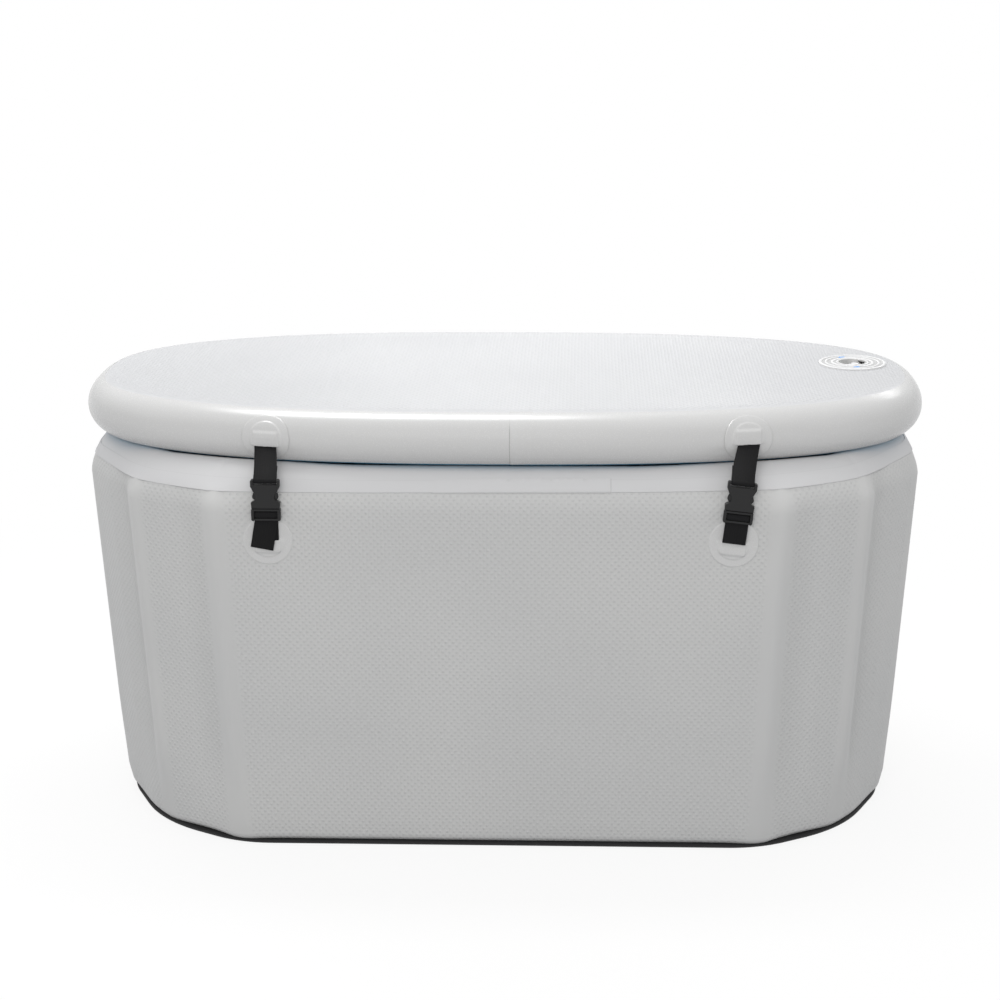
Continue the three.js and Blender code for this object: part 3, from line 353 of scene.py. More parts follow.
def foldCorners(shape):
    length, width, front, end = (shape[key] / 2 for key in ("length", "width", "frontPanel", "endPanel"))
    turn = math.radians(shape["foldAngle"])
    runX, runY = length - front, width - end
    side = (runX * math.sin(2 * turn) - runY * math.cos(2 * turn)) / math.sin(turn)
    quarter = [(length, end), (front + side * math.cos(turn), width - side * math.sin(turn)), (front, width)]
    half = quarter + [(-x, y) for x, y in reversed(quarter)]
    return [Vector(corner) for corner in half + [(-x, -y) for x, y in half]]


def planLoop(bm, shape):
    turn = math.radians(shape["foldAngle"])
    face = bm.faces.new([bm.verts.new((corner.x, corner.y, 0)) for corner in foldCorners(shape)])
    bmesh.ops.bevel(
        bm, geom=list(face.verts), offset=shape["foldRadius"] * math.tan(turn / 2), offset_type="OFFSET",
        affect="VERTICES", segments=shape["arcSteps"], profile=0.5, material=-1,
    )
    bmesh.ops.delete(bm, geom=bm.faces[:], context="FACES_ONLY")
    for edge in [edge for edge in bm.edges if edge.calc_length() > 2 * shape["panelStep"]]:
        bmesh.ops.subdivide_edges(bm, edges=[edge], cuts=int(edge.calc_length() / shape["panelStep"]))
    bm.verts.ensure_lookup_table()
    return walkLoop(bm)


# where each point of the plan stands: its inward way, the way its fold moves, and how far along the wall it is
def planSpots(ring, shape):
    corners = foldCorners(shape)
    turn = math.radians(shape["foldAngle"])
    reach = shape["foldRadius"] * math.tan(turn / 2)
    spots, along = [], 0.0
    for index, vert in enumerate(ring):
        point = vert.co.to_2d()
        along += (point - ring[index - 1].co.to_2d()).length if index else 0.0
        near = min(range(len(corners)), key=lambda k: (corners[k] - point).length)
        corner = corners[near]
        before, after = (corner - corners[near - 1]).normalized(), (corners[(near + 1) % len(corners)] - corner).normalized()
        inBefore, inAfter = Vector((-before.y, before.x)), Vector((-after.y, after.x))
        miter = (inBefore + inAfter) / (1 + inBefore.dot(inAfter))
        away = (point - corner).length
        if away < reach * 1.02:
            inward = (corner + miter * shape["foldRadius"] - point).normalized()
            shift = miter
        else:
            inward = inAfter if (point - corner).dot(after) > 0 else inBefore
            shift = inward
        tuck = max(
            foldForm["tuck"][k % 6] * (1 - easeIn((other - point).length, 0.02, shape["tuckReach"]))
            for k, other in enumerate(corners)
        )
        spot = {"plan": point, "inward": inward, "shift": shift, "away": away / reach, "along": along, "tuck": tuck}
        spot["dent"] = foldForm["dent"][near % 6] if abs(point.x) > abs(corner.x) else 0.0
        for key in ("rim", "hem", "pad"):
            radius = foldForm[key][near % 6]
            middle = corner + miter * radius
            inArc = away < radius * math.tan(turn / 2)
            spot[key] = middle + (point - middle).normalized() * radius - point if inArc else Vector((0, 0))
        spots.append(spot)
    return spots


def scaledPlan(plan, z):
    return Vector((plan.x * planScale(z, "endShare"), plan.y * planScale(z)))


def placeRing(ring, spots, shape, inset, z, swell=0.0):
    bend = min(inset, shape["foldRadius"] - shape["innerRadius"])
    crest = max(0.0, (z - wideLevel) / shape["noseHeight"])
    top, foot = easeIn(crest, 0.0, 0.7), 1 - easeIn(z, 0.03, 0.17)
    for vert, spot in zip(ring, spots):
        away = spot["away"]
        bulge = shape["foldSwell"] * (1 - easeIn(away, 0.0, 1.15)) - shape["foldValley"] * math.exp(-((away - 1.6) / 0.6) ** 2)
        bulge -= spot["dent"] * math.exp(-((away - shape["dentAt"]) / shape["dentWidth"]) ** 2)
        tuck = crest ** 2 * spot["tuck"]
        plan = scaledPlan(spot["plan"] + spot["rim"] * top + spot["hem"] * foot, z)
        curl = shape["endCurl"] * (1 - easeIn(z, 0.0, 0.075)) ** 2 * easeIn(abs(spot["plan"].x), 0.69, 0.76)
        plan += spot["inward"] * (bend - swell * bulge + tuck * shape["tuckIn"] + curl)
        plan += spot["shift"] * (inset - bend)
        vert.co = (plan.x, plan.y, z + tuck * shape["tuckUp"])


def noseLevel(depth, angle):
    half = tubShape["wall"] / 2
    return half - (half - depth) * math.cos(angle), wideLevel + (tubShape["noseHeight"] - depth) * math.sin(angle)


def noseAngle(drop):
    return math.asin((tubShape["noseHeight"] - drop) / tubShape["noseHeight"])


# writes the run along the wall and the rise up it, in metres, as the piece's map
def mapWall(bm, spots, rings, rises):
    runLayer = bm.loops.layers.uv.new("surface")
    total = spots[-1]["along"] + (spots[0]["plan"] - spots[-1]["plan"]).length
    where = {}
    for ring, rise in zip(rings, rises):
        for vert, spot in zip(ring, spots):
            where[vert] = (spot["along"], rise)
    for face in bm.faces:
        runs = [where[loop.vert][0] for loop in face.loops]
        wraps = max(runs) - min(runs) > total / 2
        for loop in face.loops:
            run, rise = where[loop.vert]
            loop[runLayer].uv = (run + (total if wraps and run < total / 2 else 0), rise)


def skinWall(levels, shape, dimpledFrom=None, dimpledTo=None):
    bm = bmesh.new()
    dimpled = bm.verts.layers.float.new("dimpled")
    seamLinesAndPaintedShade = bm.verts.layers.float.new("seamLinesAndPaintedShade")
    ring = planLoop(bm, shape)
    spots = planSpots(ring, shape)
    rings, rises, climbed, last = [], [], 0.0, None
    for count, (inset, z, swell) in enumerate(levels):
        ring = raiseRing(bm, ring) if count else ring
        placeRing(ring, spots, shape, inset, z, swell)
        climbed += math.hypot(inset - last[0], z - last[1]) if last else 0.0
        last = (inset, z)
        rings.append(ring)
        rises.append(climbed)
        for vert, spot in zip(ring, spots):
            inPanel = easeIn(spot["away"], 1.05, 1.6)
            vert[dimpled] = inPanel if dimpledFrom is not None and dimpledFrom <= z <= dimpledTo else 0.0
            # painted shade: the hollow beside each outer fold is coloured darker
            hollow = spot["dent"] / max(foldForm["dent"]) * math.exp(-((spot["away"] - 2.0) / 1.6) ** 2)
            vert[seamLinesAndPaintedShade] = shape["dentPaintedShade"] * hollow * swell * easeIn(spot["away"], 0.9, 1.5)
    mapWall(bm, spots, rings, rises)
    return bm, rings, spots


# opens a round hole in a flat part of the skin, around a line out of it
def openPort(bm, centre, outward, clear, radius):
    def reachOf(point):
        gap = point - centre
        return (gap - outward * gap.dot(outward)).length if abs(gap.dot(outward)) < 0.03 else 9.0

    doomed = [face for face in bm.faces if any(reachOf(vert.co) < clear for vert in face.verts)]
    rim = [edge for face in doomed for edge in face.edges if sum(other in doomed for other in edge.link_faces) == 1]
    bmesh.ops.delete(bm, geom=doomed, context="FACES_ONLY")
    turn = outward.to_track_quat("Z", "Y").to_matrix().to_4x4()
    hole = bmesh.ops.create_circle(bm, segments=48, radius=radius, matrix=Matrix.Translation(centre) @ turn)["verts"]
    edges = rim + list({edge for vert in hole for edge in vert.link_edges})
    bmesh.ops.triangle_fill(bm, use_beauty=True, edges=edges, normal=outward)
    bmesh.ops.delete(bm, geom=[v for v in bm.verts if not v.link_faces], context="VERTS")


def wallOuter():
    shape, hem = tubShape, tubShape["hem"]
    levels = []
    for angle in spread(math.pi / 2, 0, 6):
        levels.append((hem - hem * math.cos(angle), shape["bottom"] + hem - hem * math.sin(angle), 0.0))
    for z in spread(shape["bottom"] + hem, wideLevel, 22)[1:]:
        levels.append((0.0, z, easeIn(z, shape["swellFrom"], shape["swellTo"])))
    for angle in spread(0, noseAngle(shape["seamDrop"]), 8)[1:]:
        levels.append((*noseLevel(0, angle), max(0.0, 1 - angle / 0.8)))
    bm, rings, spots = skinWall(levels, shape, 0.02, 0.69)
    waveHem(rings[:13], spots)
    leanOut = Vector((0, math.cos(wallLean), -math.sin(wallLean)))
    openPort(bm, wallPoint(wallValve["x"], wallValve["z"]), leanOut, 0.030, 0.0278)
    return bm


# the hem sags onto the pad, most at the folds and round the ends
def waveHem(rings, spots):
    shape = tubShape
    for count, ring in enumerate(rings):
        share = 1 - easeIn(count, 5, len(rings) - 1)
        for vert, spot in zip(ring, spots):
            atFold = math.exp(-(spot["away"] / 2.4) ** 2)
            out = abs(spot["plan"].x)
            sag = shape["hemDrop"] + (shape["hemFacet"] - shape["hemDrop"]) * easeIn(out, 0.49, 0.54)
            sag += (shape["hemEnd"] - sag) * easeIn(out, 0.63, 0.71)
            vert.co.z -= share * (sag + (shape["hemFold"] - sag) * atFold)


wallLean = math.atan(tubShape["width"] / 2 * (1 - tubShape["baseShare"]) / wideLevel)
wallValve = {"x": 0.200, "z": 0.526}
drainPlace = {"x": -0.200, "z": 0.1083}


def wallPoint(x, z):
    return Vector((x, tubShape["width"] / 2 * planScale(z), z))


finishPiece("tubWall", wallOuter(), "tub", panelSheet, ["wall_outer_skin"])


def wallInner():
    shape = tubShape
    levels = [(*noseLevel(0, angle), 0.0) for angle in spread(math.pi - noseAngle(shape["seamDrop"]), math.pi, 8)]
    levels += [(shape["wall"], z, 0.0) for z in spread(wideLevel, shape["bottom"], 14)[1:]]
    bm = skinWall(levels, shape, 0.03, 0.69)[0]
    return bm


finishPiece("tubLining", wallInner(), "tub", panelSheet, ["wall_inner_skin"])

# the drop threads between the two skins, as one body
def wallThreads():
    shape, depth = tubShape, tubShape["skin"] + 0.011
    low = shape["bottom"] + 0.020
    levels = [(depth, z, 0.0) for z in spread(low, wideLevel, 6)]
    levels += [(*noseLevel(depth, angle), 0.0) for angle in spread(0, math.pi, 16)[1:]]
    levels += [(shape["wall"] - depth, z, 0.0) for z in spread(wideLevel, low, 6)[1:]]
    bm, rings, spots = skinWall(levels, shape)
    ends = [bm.edges.get((vert, ring[i - 1])) for ring in (rings[0], rings[-1]) for i, vert in enumerate(ring)]
    bmesh.ops.bridge_loops(bm, edges=ends)
    bmesh.ops.recalc_face_normals(bm, faces=bm.faces[:])
    return bm


finishPiece("wallThreads", wallThreads(), "tub", threadCloth, ["wall_core"])

rimShape = {"steps": 16, "tapeHigh": 0.0165, "tapeLow": 0.0365, "tapeTilt": 0.0065, "tapeLift": 0.0012, "pucker": 0.0016, "edgeDarkening": 0.12}
rimShape["tapeRows"] = (0.0, 0.025, 0.07, 0.15, 0.3, 0.5, 0.7, 0.85, 0.93, 0.975, 1.0)
tapeLapShape = {"start": -0.110, "end": 0.199, "high": 0.0157, "low": 0.0372, "lift": 0.0008, "wrinkle": 0.0004}


def rimBand(low, high, depth, steps):
    levels = [(*noseLevel(depth, angle), 0.0) for angle in spread(low, high, steps)]
    return skinWall(levels, tubShape)[0]


seamAngle = noseAngle(tubShape["seamDrop"])
finishPiece("rimRoll", rimBand(seamAngle, math.pi - seamAngle, 0, rimShape["steps"]), "tub", tapeSheet, ["rim_rail"])


# the tape was laid a little lower towards the left end
def tapeAngle(drop, x):
    return noseAngle(drop - rimShape["tapeTilt"] * x)


def tapeLevel(share, x, outer):
    low, high = (tapeAngle(rimShape[key], x) for key in ("tapeLow", "tapeHigh"))
    lift = rimShape["tapeLift"] if 0 < share < 1 else -0.0004
    angle = low + (high - low) * share
    return noseLevel(-lift, angle if outer else math.pi - angle)


# seam tape with thin rounded edges, welded over the seam
def rimTape(outer):
    shares = rimShape["tapeRows"] if outer else rimShape["tapeRows"][::-1]
    bm, rings, spots = skinWall([(*tapeLevel(share, 0.0, outer), 0.0) for share in shares], tubShape)
    for share, ring in zip(shares, rings):
        for vert, spot in zip(ring, spots):
            placeRing([vert], [spot], tubShape, *tapeLevel(share, spot["plan"].x, outer))
    seamLinesAndPaintedShade = bm.verts.layers.float["seamLinesAndPaintedShade"]
    # the two edge rows on each side of the tape are coloured darker
    for vert in (vert for ring in rings[:2] + rings[-2:] for vert in ring):
        vert[seamLinesAndPaintedShade] = rimShape["edgeDarkening"]
    puckered = rings[:5] if outer else rings[-5:]
    for vert, spot in ((vert, spot) for ring in puckered for vert, spot in zip(ring, spots)):
        if spot["away"] < 1.2:
            vert.co.xy -= spot["inward"] * rimShape["pucker"] * math.cos(spot["away"] * 7) ** 2
    return bm


# the tape's end laid over its start on the front, with a wrinkled upper edge
def tapeLap(shape):
    bm = bmesh.new()
    seamLinesAndPaintedShade = bm.verts.layers.float.new("seamLinesAndPaintedShade")
    bmesh.ops.create_grid(bm, x_segments=120, y_segments=10, size=1)
    for vert in bm.verts:
        along, across = (vert.co.x + 1) / 2, (vert.co.y + 1) / 2
        edge = min((1 - along) * 120, across * 10, 1)
        lift = shape["lift"] * edge * easeIn(along, 0.0, 0.3)
        x = shape["start"] + (shape["end"] - shape["start"]) * along
        low, high = (tapeAngle(shape[key], x) for key in ("low", "high"))
        wrinkle = math.sin(x * 190) + math.sin(x * 431 + 1) + math.sin(x * 97 + 2)
        lift += shape["wrinkle"] * wrinkle * easeIn(across, 0.72, 0.95) * easeIn(along, 0.1, 0.4)
        angle = low + (high - low) * across + 0.004 * wrinkle * easeIn(across, 0.8, 1.0)
        inset, z = noseLevel(-lift - rimShape["tapeLift"], angle)
        vert[seamLinesAndPaintedShade] = 0.3 * (1 - edge)
        vert.co = (x, inset - tubShape["width"] / 2, z)
    bmesh.ops.recalc_face_normals(bm, faces=bm.faces[:])
    return bm


finishPiece("rimTapeOut", rimTape(True), "tub", tapeSheet, ["rim_tape_outer"])
finishPiece("rimTapeIn", rimTape(False), "tub", tapeSheet, ["rim_tape_inner"])
finishPiece("rimTapeLap", tapeLap(tapeLapShape), "tub", tapeSheet)
print("wall and rim made")

# the pad's edge, as inset and height from the floor
padRim = [(0.0030, 0.0), (0.0004, 0.0008), (-0.001, 0.0024), (-0.001, 0.0044), (0.0004, 0.0058), (0.006, 0.0078), (0.020, 0.0130)]


def basePad():
    bm = bmesh.new()
    ring = planLoop(bm, tubShape)
    spots = planSpots(ring, tubShape)
    bmesh.ops.contextual_create(bm, geom=bm.edges[:])
    for count, (inset, z) in enumerate(padRim):
        ring = raiseRing(bm, ring) if count else ring
        for vert, spot in zip(ring, spots):
            curl = tubShape["endCurl"] * 0.7 * easeIn(abs(spot["plan"].x), 0.69, 0.76)
            plan = scaledPlan(spot["plan"] + spot["pad"], 0) + spot["inward"] * (inset + curl)
            vert.co = (plan.x, plan.y, z)
    bmesh.ops.recalc_face_normals(bm, faces=bm.faces[:])
    return bm


finishPiece("basePad", basePad(), "tub", padRubber, ["base_pad"])

floorShape = {"thickness": 0.050, "edge": 0.012, "steps": 6}


def floorPanel():
    bm = bmesh.new()
    dimpled = bm.verts.layers.float.new("dimpled")
    ring = planLoop(bm, tubShape)
    spots = planSpots(ring, tubShape)
    top = tubShape["bottom"] + floorShape["thickness"]
    levels = [(tubShape["wall"] + 0.0003, top - floorShape["edge"] - 0.02)]
    for angle in spread(0, math.pi / 2, floorShape["steps"]):
        inset = tubShape["wall"] + 0.0003 + floorShape["edge"] * (1 - math.cos(angle))
        levels.append((inset, top - floorShape["edge"] * (1 - math.sin(angle))))
    for count, (inset, z) in enumerate(levels):
        ring = raiseRing(bm, ring) if count else ring
        placeRing(ring, spots, tubShape, inset, z)
    for vert in bm.verts:
        vert[dimpled] = 1.0
    bmesh.ops.contextual_create(bm, geom=[bm.edges.get((v, ring[i - 1])) for i, v in enumerate(ring)])
    bmesh.ops.recalc_face_normals(bm, faces=bm.faces[:])
    return bm


finishPiece("floorPanel", floorPanel(), "tub", floorSheet, ["floor_panel"])
print("base and floor made")

# lid
lidShape = {
    "halfLength": 0.775, "halfWidth": 0.372, "thickness": 0.100, "squareness": 2.55, "bottom": 0.7093, "points": 288,
    "sheetAngle": 68, "blueAngle": 59, "lip": 0.0006,
}
lidEdge = lidShape["thickness"] / 2
lidMiddle = lidShape["bottom"] + lidEdge
lidTop = lidShape["bottom"] + lidShape["thickness"]
lidValve = {"x": 0.655, "y": 0.047}


def ovalPoint(angle, inset):
    power = 2 / lidShape["squareness"]
    across, deep = math.cos(angle), math.sin(angle)
    x = (lidShape["halfLength"] - inset) * math.copysign(abs(across) ** power, across)
    y = (lidShape["halfWidth"] - inset) * math.copysign(abs(deep) ** power, deep)
    return x, y


def edgeLevel(angle, lift=0.0):
    return lidEdge - (lidEdge + lift) * math.cos(angle), lidMiddle + (lidEdge + lift) * math.sin(angle)


def lidSkin(levels):
    bm = bmesh.new()
    dimpled = bm.verts.layers.float.new("dimpled")
    bmesh.ops.create_circle(bm, segments=lidShape["points"], radius=1)
    bm.verts.ensure_lookup_table()
    ring = walkLoop(bm)
    angles = [math.atan2(vert.co.y, vert.co.x) for vert in ring]
    for count, (inset, z) in enumerate(levels):
        ring = raiseRing(bm, ring) if count else ring
        for vert, angle in zip(ring, angles):
            vert.co = (*ovalPoint(angle, inset), z)
            vert[dimpled] = easeIn(inset, 0.031, 0.046)
    return bm, ring


def lidTopSheetPiece():
    start = math.radians(lidShape["sheetAngle"])
    levels = [edgeLevel(angle) for angle in spread(start, math.pi / 2, 4)]
    levels += [(lidEdge + step, lidTop) for step in (0.006, 0.012, 0.02, 0.05)]
    bm, ring = lidSkin(levels)
    hole = bmesh.ops.create_circle(
        bm, segments=48, radius=0.0278, matrix=Matrix.Translation((lidValve["x"], lidValve["y"], lidTop)),
    )["verts"]
    for vert in hole:
        vert[bm.verts.layers.float["dimpled"]] = 1.0
    edges = [bm.edges.get((v, ring[i - 1])) for i, v in enumerate(ring)]
    edges += list({edge for vert in hole for edge in vert.link_edges})
    bmesh.ops.triangle_fill(bm, use_beauty=True, edges=edges, normal=(0, 0, 1))
    bmesh.ops.recalc_face_normals(bm, faces=bm.faces[:])
    return bm


def lidRail():
    high, low = math.radians(lidShape["sheetAngle"] + 1), -math.radians(lidShape["blueAngle"])
    levels = [edgeLevel(high, -0.0004), edgeLevel(high, lidShape["lip"])]
    levels += [edgeLevel(angle, lidShape["lip"]) for angle in spread(high, low, 24)[1:]]
    levels += [edgeLevel(low, -0.0008)]
    bm = lidSkin(levels)[0]
    bmesh.ops.recalc_face_normals(bm, faces=bm.faces[:])
    return bm


def lidUnder():
    levels = [edgeLevel(angle) for angle in spread(-math.radians(lidShape["blueAngle"] - 2), -math.pi / 2, 4)]
    bm, ring = lidSkin(levels)
    bmesh.ops.contextual_create(bm, geom=[bm.edges.get((v, ring[i - 1])) for i, v in enumerate(ring)])
    bmesh.ops.recalc_face_normals(bm, faces=bm.faces[:])
    return bm


finishPiece("lidTopSheet", lidTopSheetPiece(), "lid", lidTopSheet, ["lid_top_skin"])
finishPiece("lidRail", lidRail(), "lid", railSheet, ["lid_rail"])
finishPiece("lidUnderside", lidUnder(), "lid", blueSheet, ["lid_bottom_skin"])

# the rail's end laid over its start, in front
railLapShape = {"start": 0.0226, "length": 0.040, "lift": 0.0009, "line": 0.0016, "low": -58, "high": 72, "seamAndShadeTone": 0.7}


def railLap(shape):
    bm = bmesh.new()
    seamLinesAndPaintedShade = bm.verts.layers.float.new("seamLinesAndPaintedShade")
    bmesh.ops.create_grid(bm, x_segments=12, y_segments=30, size=1)
    for vert in bm.verts:
        along, around = (vert.co.x + 1) / 2, (vert.co.y + 1) / 2
        angle = math.radians(shape["low"] + (shape["high"] - shape["low"]) * around)
        first = along < 0.01
        fade = 1 - 0.8 * easeIn(around, 0.60, 0.80)
        lift = 0.0002 if first else shape["lift"] * fade * (1 - along) + 0.0001
        inset, z = edgeLevel(angle, lidShape["lip"] + lift)
        x = shape["start"] + shape["length"] * along + (0.0 if along > 0.09 or first else shape["line"] - shape["length"] / 12)
        vert[seamLinesAndPaintedShade] = shape["seamAndShadeTone"] * fade if first else 0.0
        share = (abs(x) / lidShape["halfLength"]) ** lidShape["squareness"]
        vert.co = (x, inset - lidShape["halfWidth"] * (1 - share) ** (1 / lidShape["squareness"]), z)
    bmesh.ops.recalc_face_normals(bm, faces=bm.faces[:])
    return bm


finishPiece("lidRailLap", railLap(railLapShape), "lid", railSheet)
print("lid made")

# straps: where each stands, as on the tub
strapShape = {
    "patchHeight": 0.585, "patchRadius": 0.0435, "width": 0.040, "thick": 0.002, "rise": 0.076,
    "barOut": 0.3928, "tailOut": 0.3893, "loadOut": 0.387, "gap": 0.0003, "barDepth": 0.0044, "bar": 0.004, "slot": 0.005,
    "maleLow": -0.036, "femaleTop": 0.038, "pocketOut": 0.0036, "coverOut": 0.0065,
}
strapPlaces = [
    {"name": "front_left", "x": -0.399, "lean": 0.0, "turn": 0.0, "lidShift": -0.004, "slit": -0.0135, "tailDrop": 0.012, "tailSwing": 0.002, "tailLean": 10.5},
    {"name": "front_right", "x": 0.411, "lean": 6.5, "turn": 0.0, "lidShift": 0.005, "slit": -0.0085, "tailDrop": -0.002, "tailSwing": 0.003, "tailLean": 0.5},
    {"name": "back_left", "x": 0.405, "lean": 0.0, "turn": math.pi, "lidShift": 0.0, "slit": -0.013, "tailDrop": 0.008, "tailSwing": 0.002, "tailLean": -3.0},
    {"name": "back_right", "x": -0.405, "lean": 0.0, "turn": math.pi, "lidShift": 0.0, "slit": -0.013, "tailDrop": 0.011, "tailSwing": 0.002, "tailLean": 2.0},
]


def railFrame(x):
    share = (abs(x) / lidShape["halfLength"]) ** lidShape["squareness"]
    out = lidShape["halfWidth"] * (1 - share) ** (1 / lidShape["squareness"])
    slope = lidShape["halfWidth"] / lidShape["halfLength"] * (abs(x) / lidShape["halfLength"]) ** (lidShape["squareness"] - 1)
    slope *= (1 - share) ** (1 / lidShape["squareness"] - 1)
    return Matrix.Translation((x, -out, lidMiddle)) @ Matrix.Rotation(math.copysign(math.atan(slope), x), 4, "Z")


def onRail(side, arc, lift):
    reach = lidEdge + lift
    return Vector((side, lidEdge - reach * math.cos(arc / lidEdge), reach * math.sin(arc / lidEdge)))


def wallFace(z):
    return tubShape["width"] / 2 * planScale(z)


# a strap of webbing swept through frames that give its middle and the way across it
def webbing(frames, width, thick):
    bm = bmesh.new()
    run = bm.verts.layers.float.new("run")
    across = bm.verts.layers.float.new("across")
    length = 0.0
    rings = []
    for index, (middle, side) in enumerate(frames):
        before, after = frames[max(index - 1, 0)][0], frames[min(index + 1, len(frames) - 1)][0]
        face = (after - before).cross(side).normalized()
        length += (middle - frames[index - 1][0]).length if index else 0.0
        if not rings:
            ring = [bm.verts.new() for _ in range(8)]
            bm.faces.new(ring[::-1])
        else:
            edges = [bm.edges.get((vert, rings[-1][i - 1])) for i, vert in enumerate(rings[-1])]
            made = bmesh.ops.extrude_edge_only(bm, edges=edges)["geom"]
            fresh = {item for item in made if isinstance(item, bmesh.types.BMVert)}
            ring = [next(e.other_vert(v) for e in v.link_edges if e.other_vert(v) in fresh) for v in rings[-1]]
        half, edge = width / 2, thick / 2
        outline = [(-1, -0.4), (-0.96, -1), (0.96, -1), (1, -0.4), (1, 0.4), (0.96, 1), (-0.96, 1), (-1, 0.4)]
        for vert, (u, v) in zip(ring, outline):
            vert.co = middle + side * (u * half) + face * (v * edge)
            vert[run] = length
            vert[across] = u * half
        rings.append(ring)
    bm.faces.new(rings[-1])
    layer = bm.loops.layers.uv.new("surface")
    for face in bm.faces:
        for loop in face.loops:
            loop[layer].uv = (loop.vert[across], loop.vert[run])
    bmesh.ops.recalc_face_normals(bm, faces=bm.faces[:])
    return bm


def arcPoints(centre, radius, start, end, steps):
    return [Vector((centre[0] + radius * math.cos(a), centre[1] + radius * math.sin(a))) for a in spread(start, end, steps)]


def flatFrames(points, matrix):
    side = (matrix.to_3x3() @ Vector((1, 0, 0))).normalized()
    return [(matrix @ Vector((0, -point.x, point.y)), side) for point in points]


# the loose end, hanging a little aslant from the ladder
def tailFrames(place, start, matrix):
    lean = math.radians(place["tailLean"])
    side = (matrix.to_3x3() @ Vector((math.cos(lean), 0, -math.sin(lean)))).normalized()
    frames = []
    for share in spread(0, 1, 8)[1:]:
        fall = (start.y + place["tailDrop"]) * share
        out = start.x + place["tailSwing"] * share ** 1.5 + 0.0012 * math.sin(share * 5)
        frames.append((matrix @ Vector((-fall * math.tan(lean), -out, start.y - fall)), side))
    return frames


# up behind the ladder, over its upper bar, back through the lower slot and down as a loose tail
def tubStrapFrames(place, matrix):
    shape = strapShape
    lowTop = shape["rise"] + shape["maleLow"] + shape["bar"]
    highLow = lowTop + shape["slot"]
    highTop = highLow + shape["bar"]
    wrap = shape["barDepth"] / 2 + shape["gap"] + shape["thick"] / 2
    turn = shape["slot"] - wrap

    def patchFace(rise):
        return wallFace(shape["patchHeight"] + rise)

    points = [Vector((patchFace(-0.019) + shape["pocketOut"], -0.019)), Vector((patchFace(0.003) + shape["pocketOut"], 0.003))]
    points += [Vector((shape["loadOut"], z)) for z in spread(shape["rise"] + shape["maleLow"] - 0.004, highLow, 3)]
    points += arcPoints((shape["barOut"], highTop), wrap, math.pi, 0, 8)
    points += arcPoints((shape["barOut"], highLow), wrap, 0, -math.pi / 2, 5)
    points += arcPoints((shape["tailOut"] + turn, lowTop), turn, math.pi / 2, math.pi, 5)
    points.append(Vector((shape["tailOut"], shape["rise"] + shape["maleLow"])))
    return flatFrames(points, matrix) + tailFrames(place, points[-1], matrix)


def lidStrapFrames(line, edge, slitArc):
    shape = strapShape
    bar = Vector((shape["barOut"], shape["rise"] + shape["femaleTop"] - shape["bar"] / 2))
    radius = math.hypot(shape["bar"] / 2, shape["barDepth"] / 2) + shape["gap"] + shape["thick"] / 2
    railSide = [edge @ onRail(0, arc, shape["pocketOut"]) for arc in spread(slitArc, slitArc + 0.020, 8)]
    railAcross = (edge.to_3x3() @ Vector((1, 0, 0))).normalized()
    slit = line.inverted() @ railSide[0]
    toSlit = Vector((-slit.y, slit.z)) - bar
    touch = math.atan2(toSlit.y, toSlit.x) - math.acos(radius / toSlit.length)
    away = Vector((math.cos(touch), math.sin(touch)))
    along = Vector((-away.y, away.x))
    lap = 0.42 * toSlit.length
    lift = radius - shape["thick"] - shape["gap"]
    points = [bar + along * lap + away * lift, bar + along * lap / 2 + away * lift]
    points += arcPoints(bar, radius, touch - math.pi, touch, 12)
    points.append(bar + along * lap / 2 + away * radius)
    frames = flatFrames(points, line)
    start, end = frames[-1], (railSide[0], railAcross)
    for share in spread(0, 1, 8)[1:-1]:
        middle = start[0].lerp(end[0], share)
        sag = (edge.to_3x3() @ Vector((0, 0.0016, 0))) * math.sin(share * math.pi)
        frames.append((middle + sag, start[1].lerp(end[1], share).normalized()))
    return frames + [(middle, railAcross) for middle in railSide]


# welded patch: a round sheet, a half cover over the strap's end, and the bar of its folded tip
patchShape = {
    "sheet": 0.0011, "cover": 0.0012, "coverRadius": 0.0310, "strap": 0.0023, "bar": 0.0003, "steps": 96, "rings": 34,
}


def patchHeight(x, y, slit):
    shape = patchShape
    reach = math.hypot(x, y)
    height = shape["sheet"] * (1 - easeIn(reach, strapShape["patchRadius"] - 0.0014, strapShape["patchRadius"]))
    inCover = (1 - easeIn(reach, shape["coverRadius"] - 0.0036, shape["coverRadius"])) * easeIn(y, slit - 0.0008, slit + 0.0008)
    height += shape["cover"] * inCover
    nearStrap = 1 - easeIn(abs(x), 0.0205, 0.0240)
    height += shape["strap"] * inCover * nearStrap * (1 - easeIn(y, slit + 0.021, slit + 0.028))
    height += shape["bar"] * inCover * nearStrap * easeIn(y, slit + 0.011, slit + 0.015) * (1 - easeIn(y, slit + 0.021, slit + 0.0265))
    return height


def patchDisc(slit):
    bm = bmesh.new()
    radii = [strapShape["patchRadius"] * share ** 0.8 for share in spread(0.02, 1, patchShape["rings"])]
    verts = [bm.verts.new((radius, 0, 0)) for radius in radii]
    edges = [bm.edges.new(pair) for pair in zip(verts, verts[1:])]
    bmesh.ops.spin(
        bm, geom=verts + edges, cent=(0, 0, 0), axis=(0, 0, 1), angle=2 * math.pi, steps=patchShape["steps"], use_merge=True,
    )
    bmesh.ops.remove_doubles(bm, verts=bm.verts[:], dist=0.00001)
    hole = [edge for edge in bm.edges if edge.is_boundary and edge.verts[0].co.length < 0.01]
    bmesh.ops.contextual_create(bm, geom=hole)
    for vert in bm.verts:
        vert.co.z = patchHeight(vert.co.x, vert.co.y, slit)
    bmesh.ops.recalc_face_normals(bm, faces=bm.faces[:])
    if sum(face.normal.z for face in bm.faces) < 0:
        bmesh.ops.reverse_faces(bm, faces=bm.faces[:])
    return bm


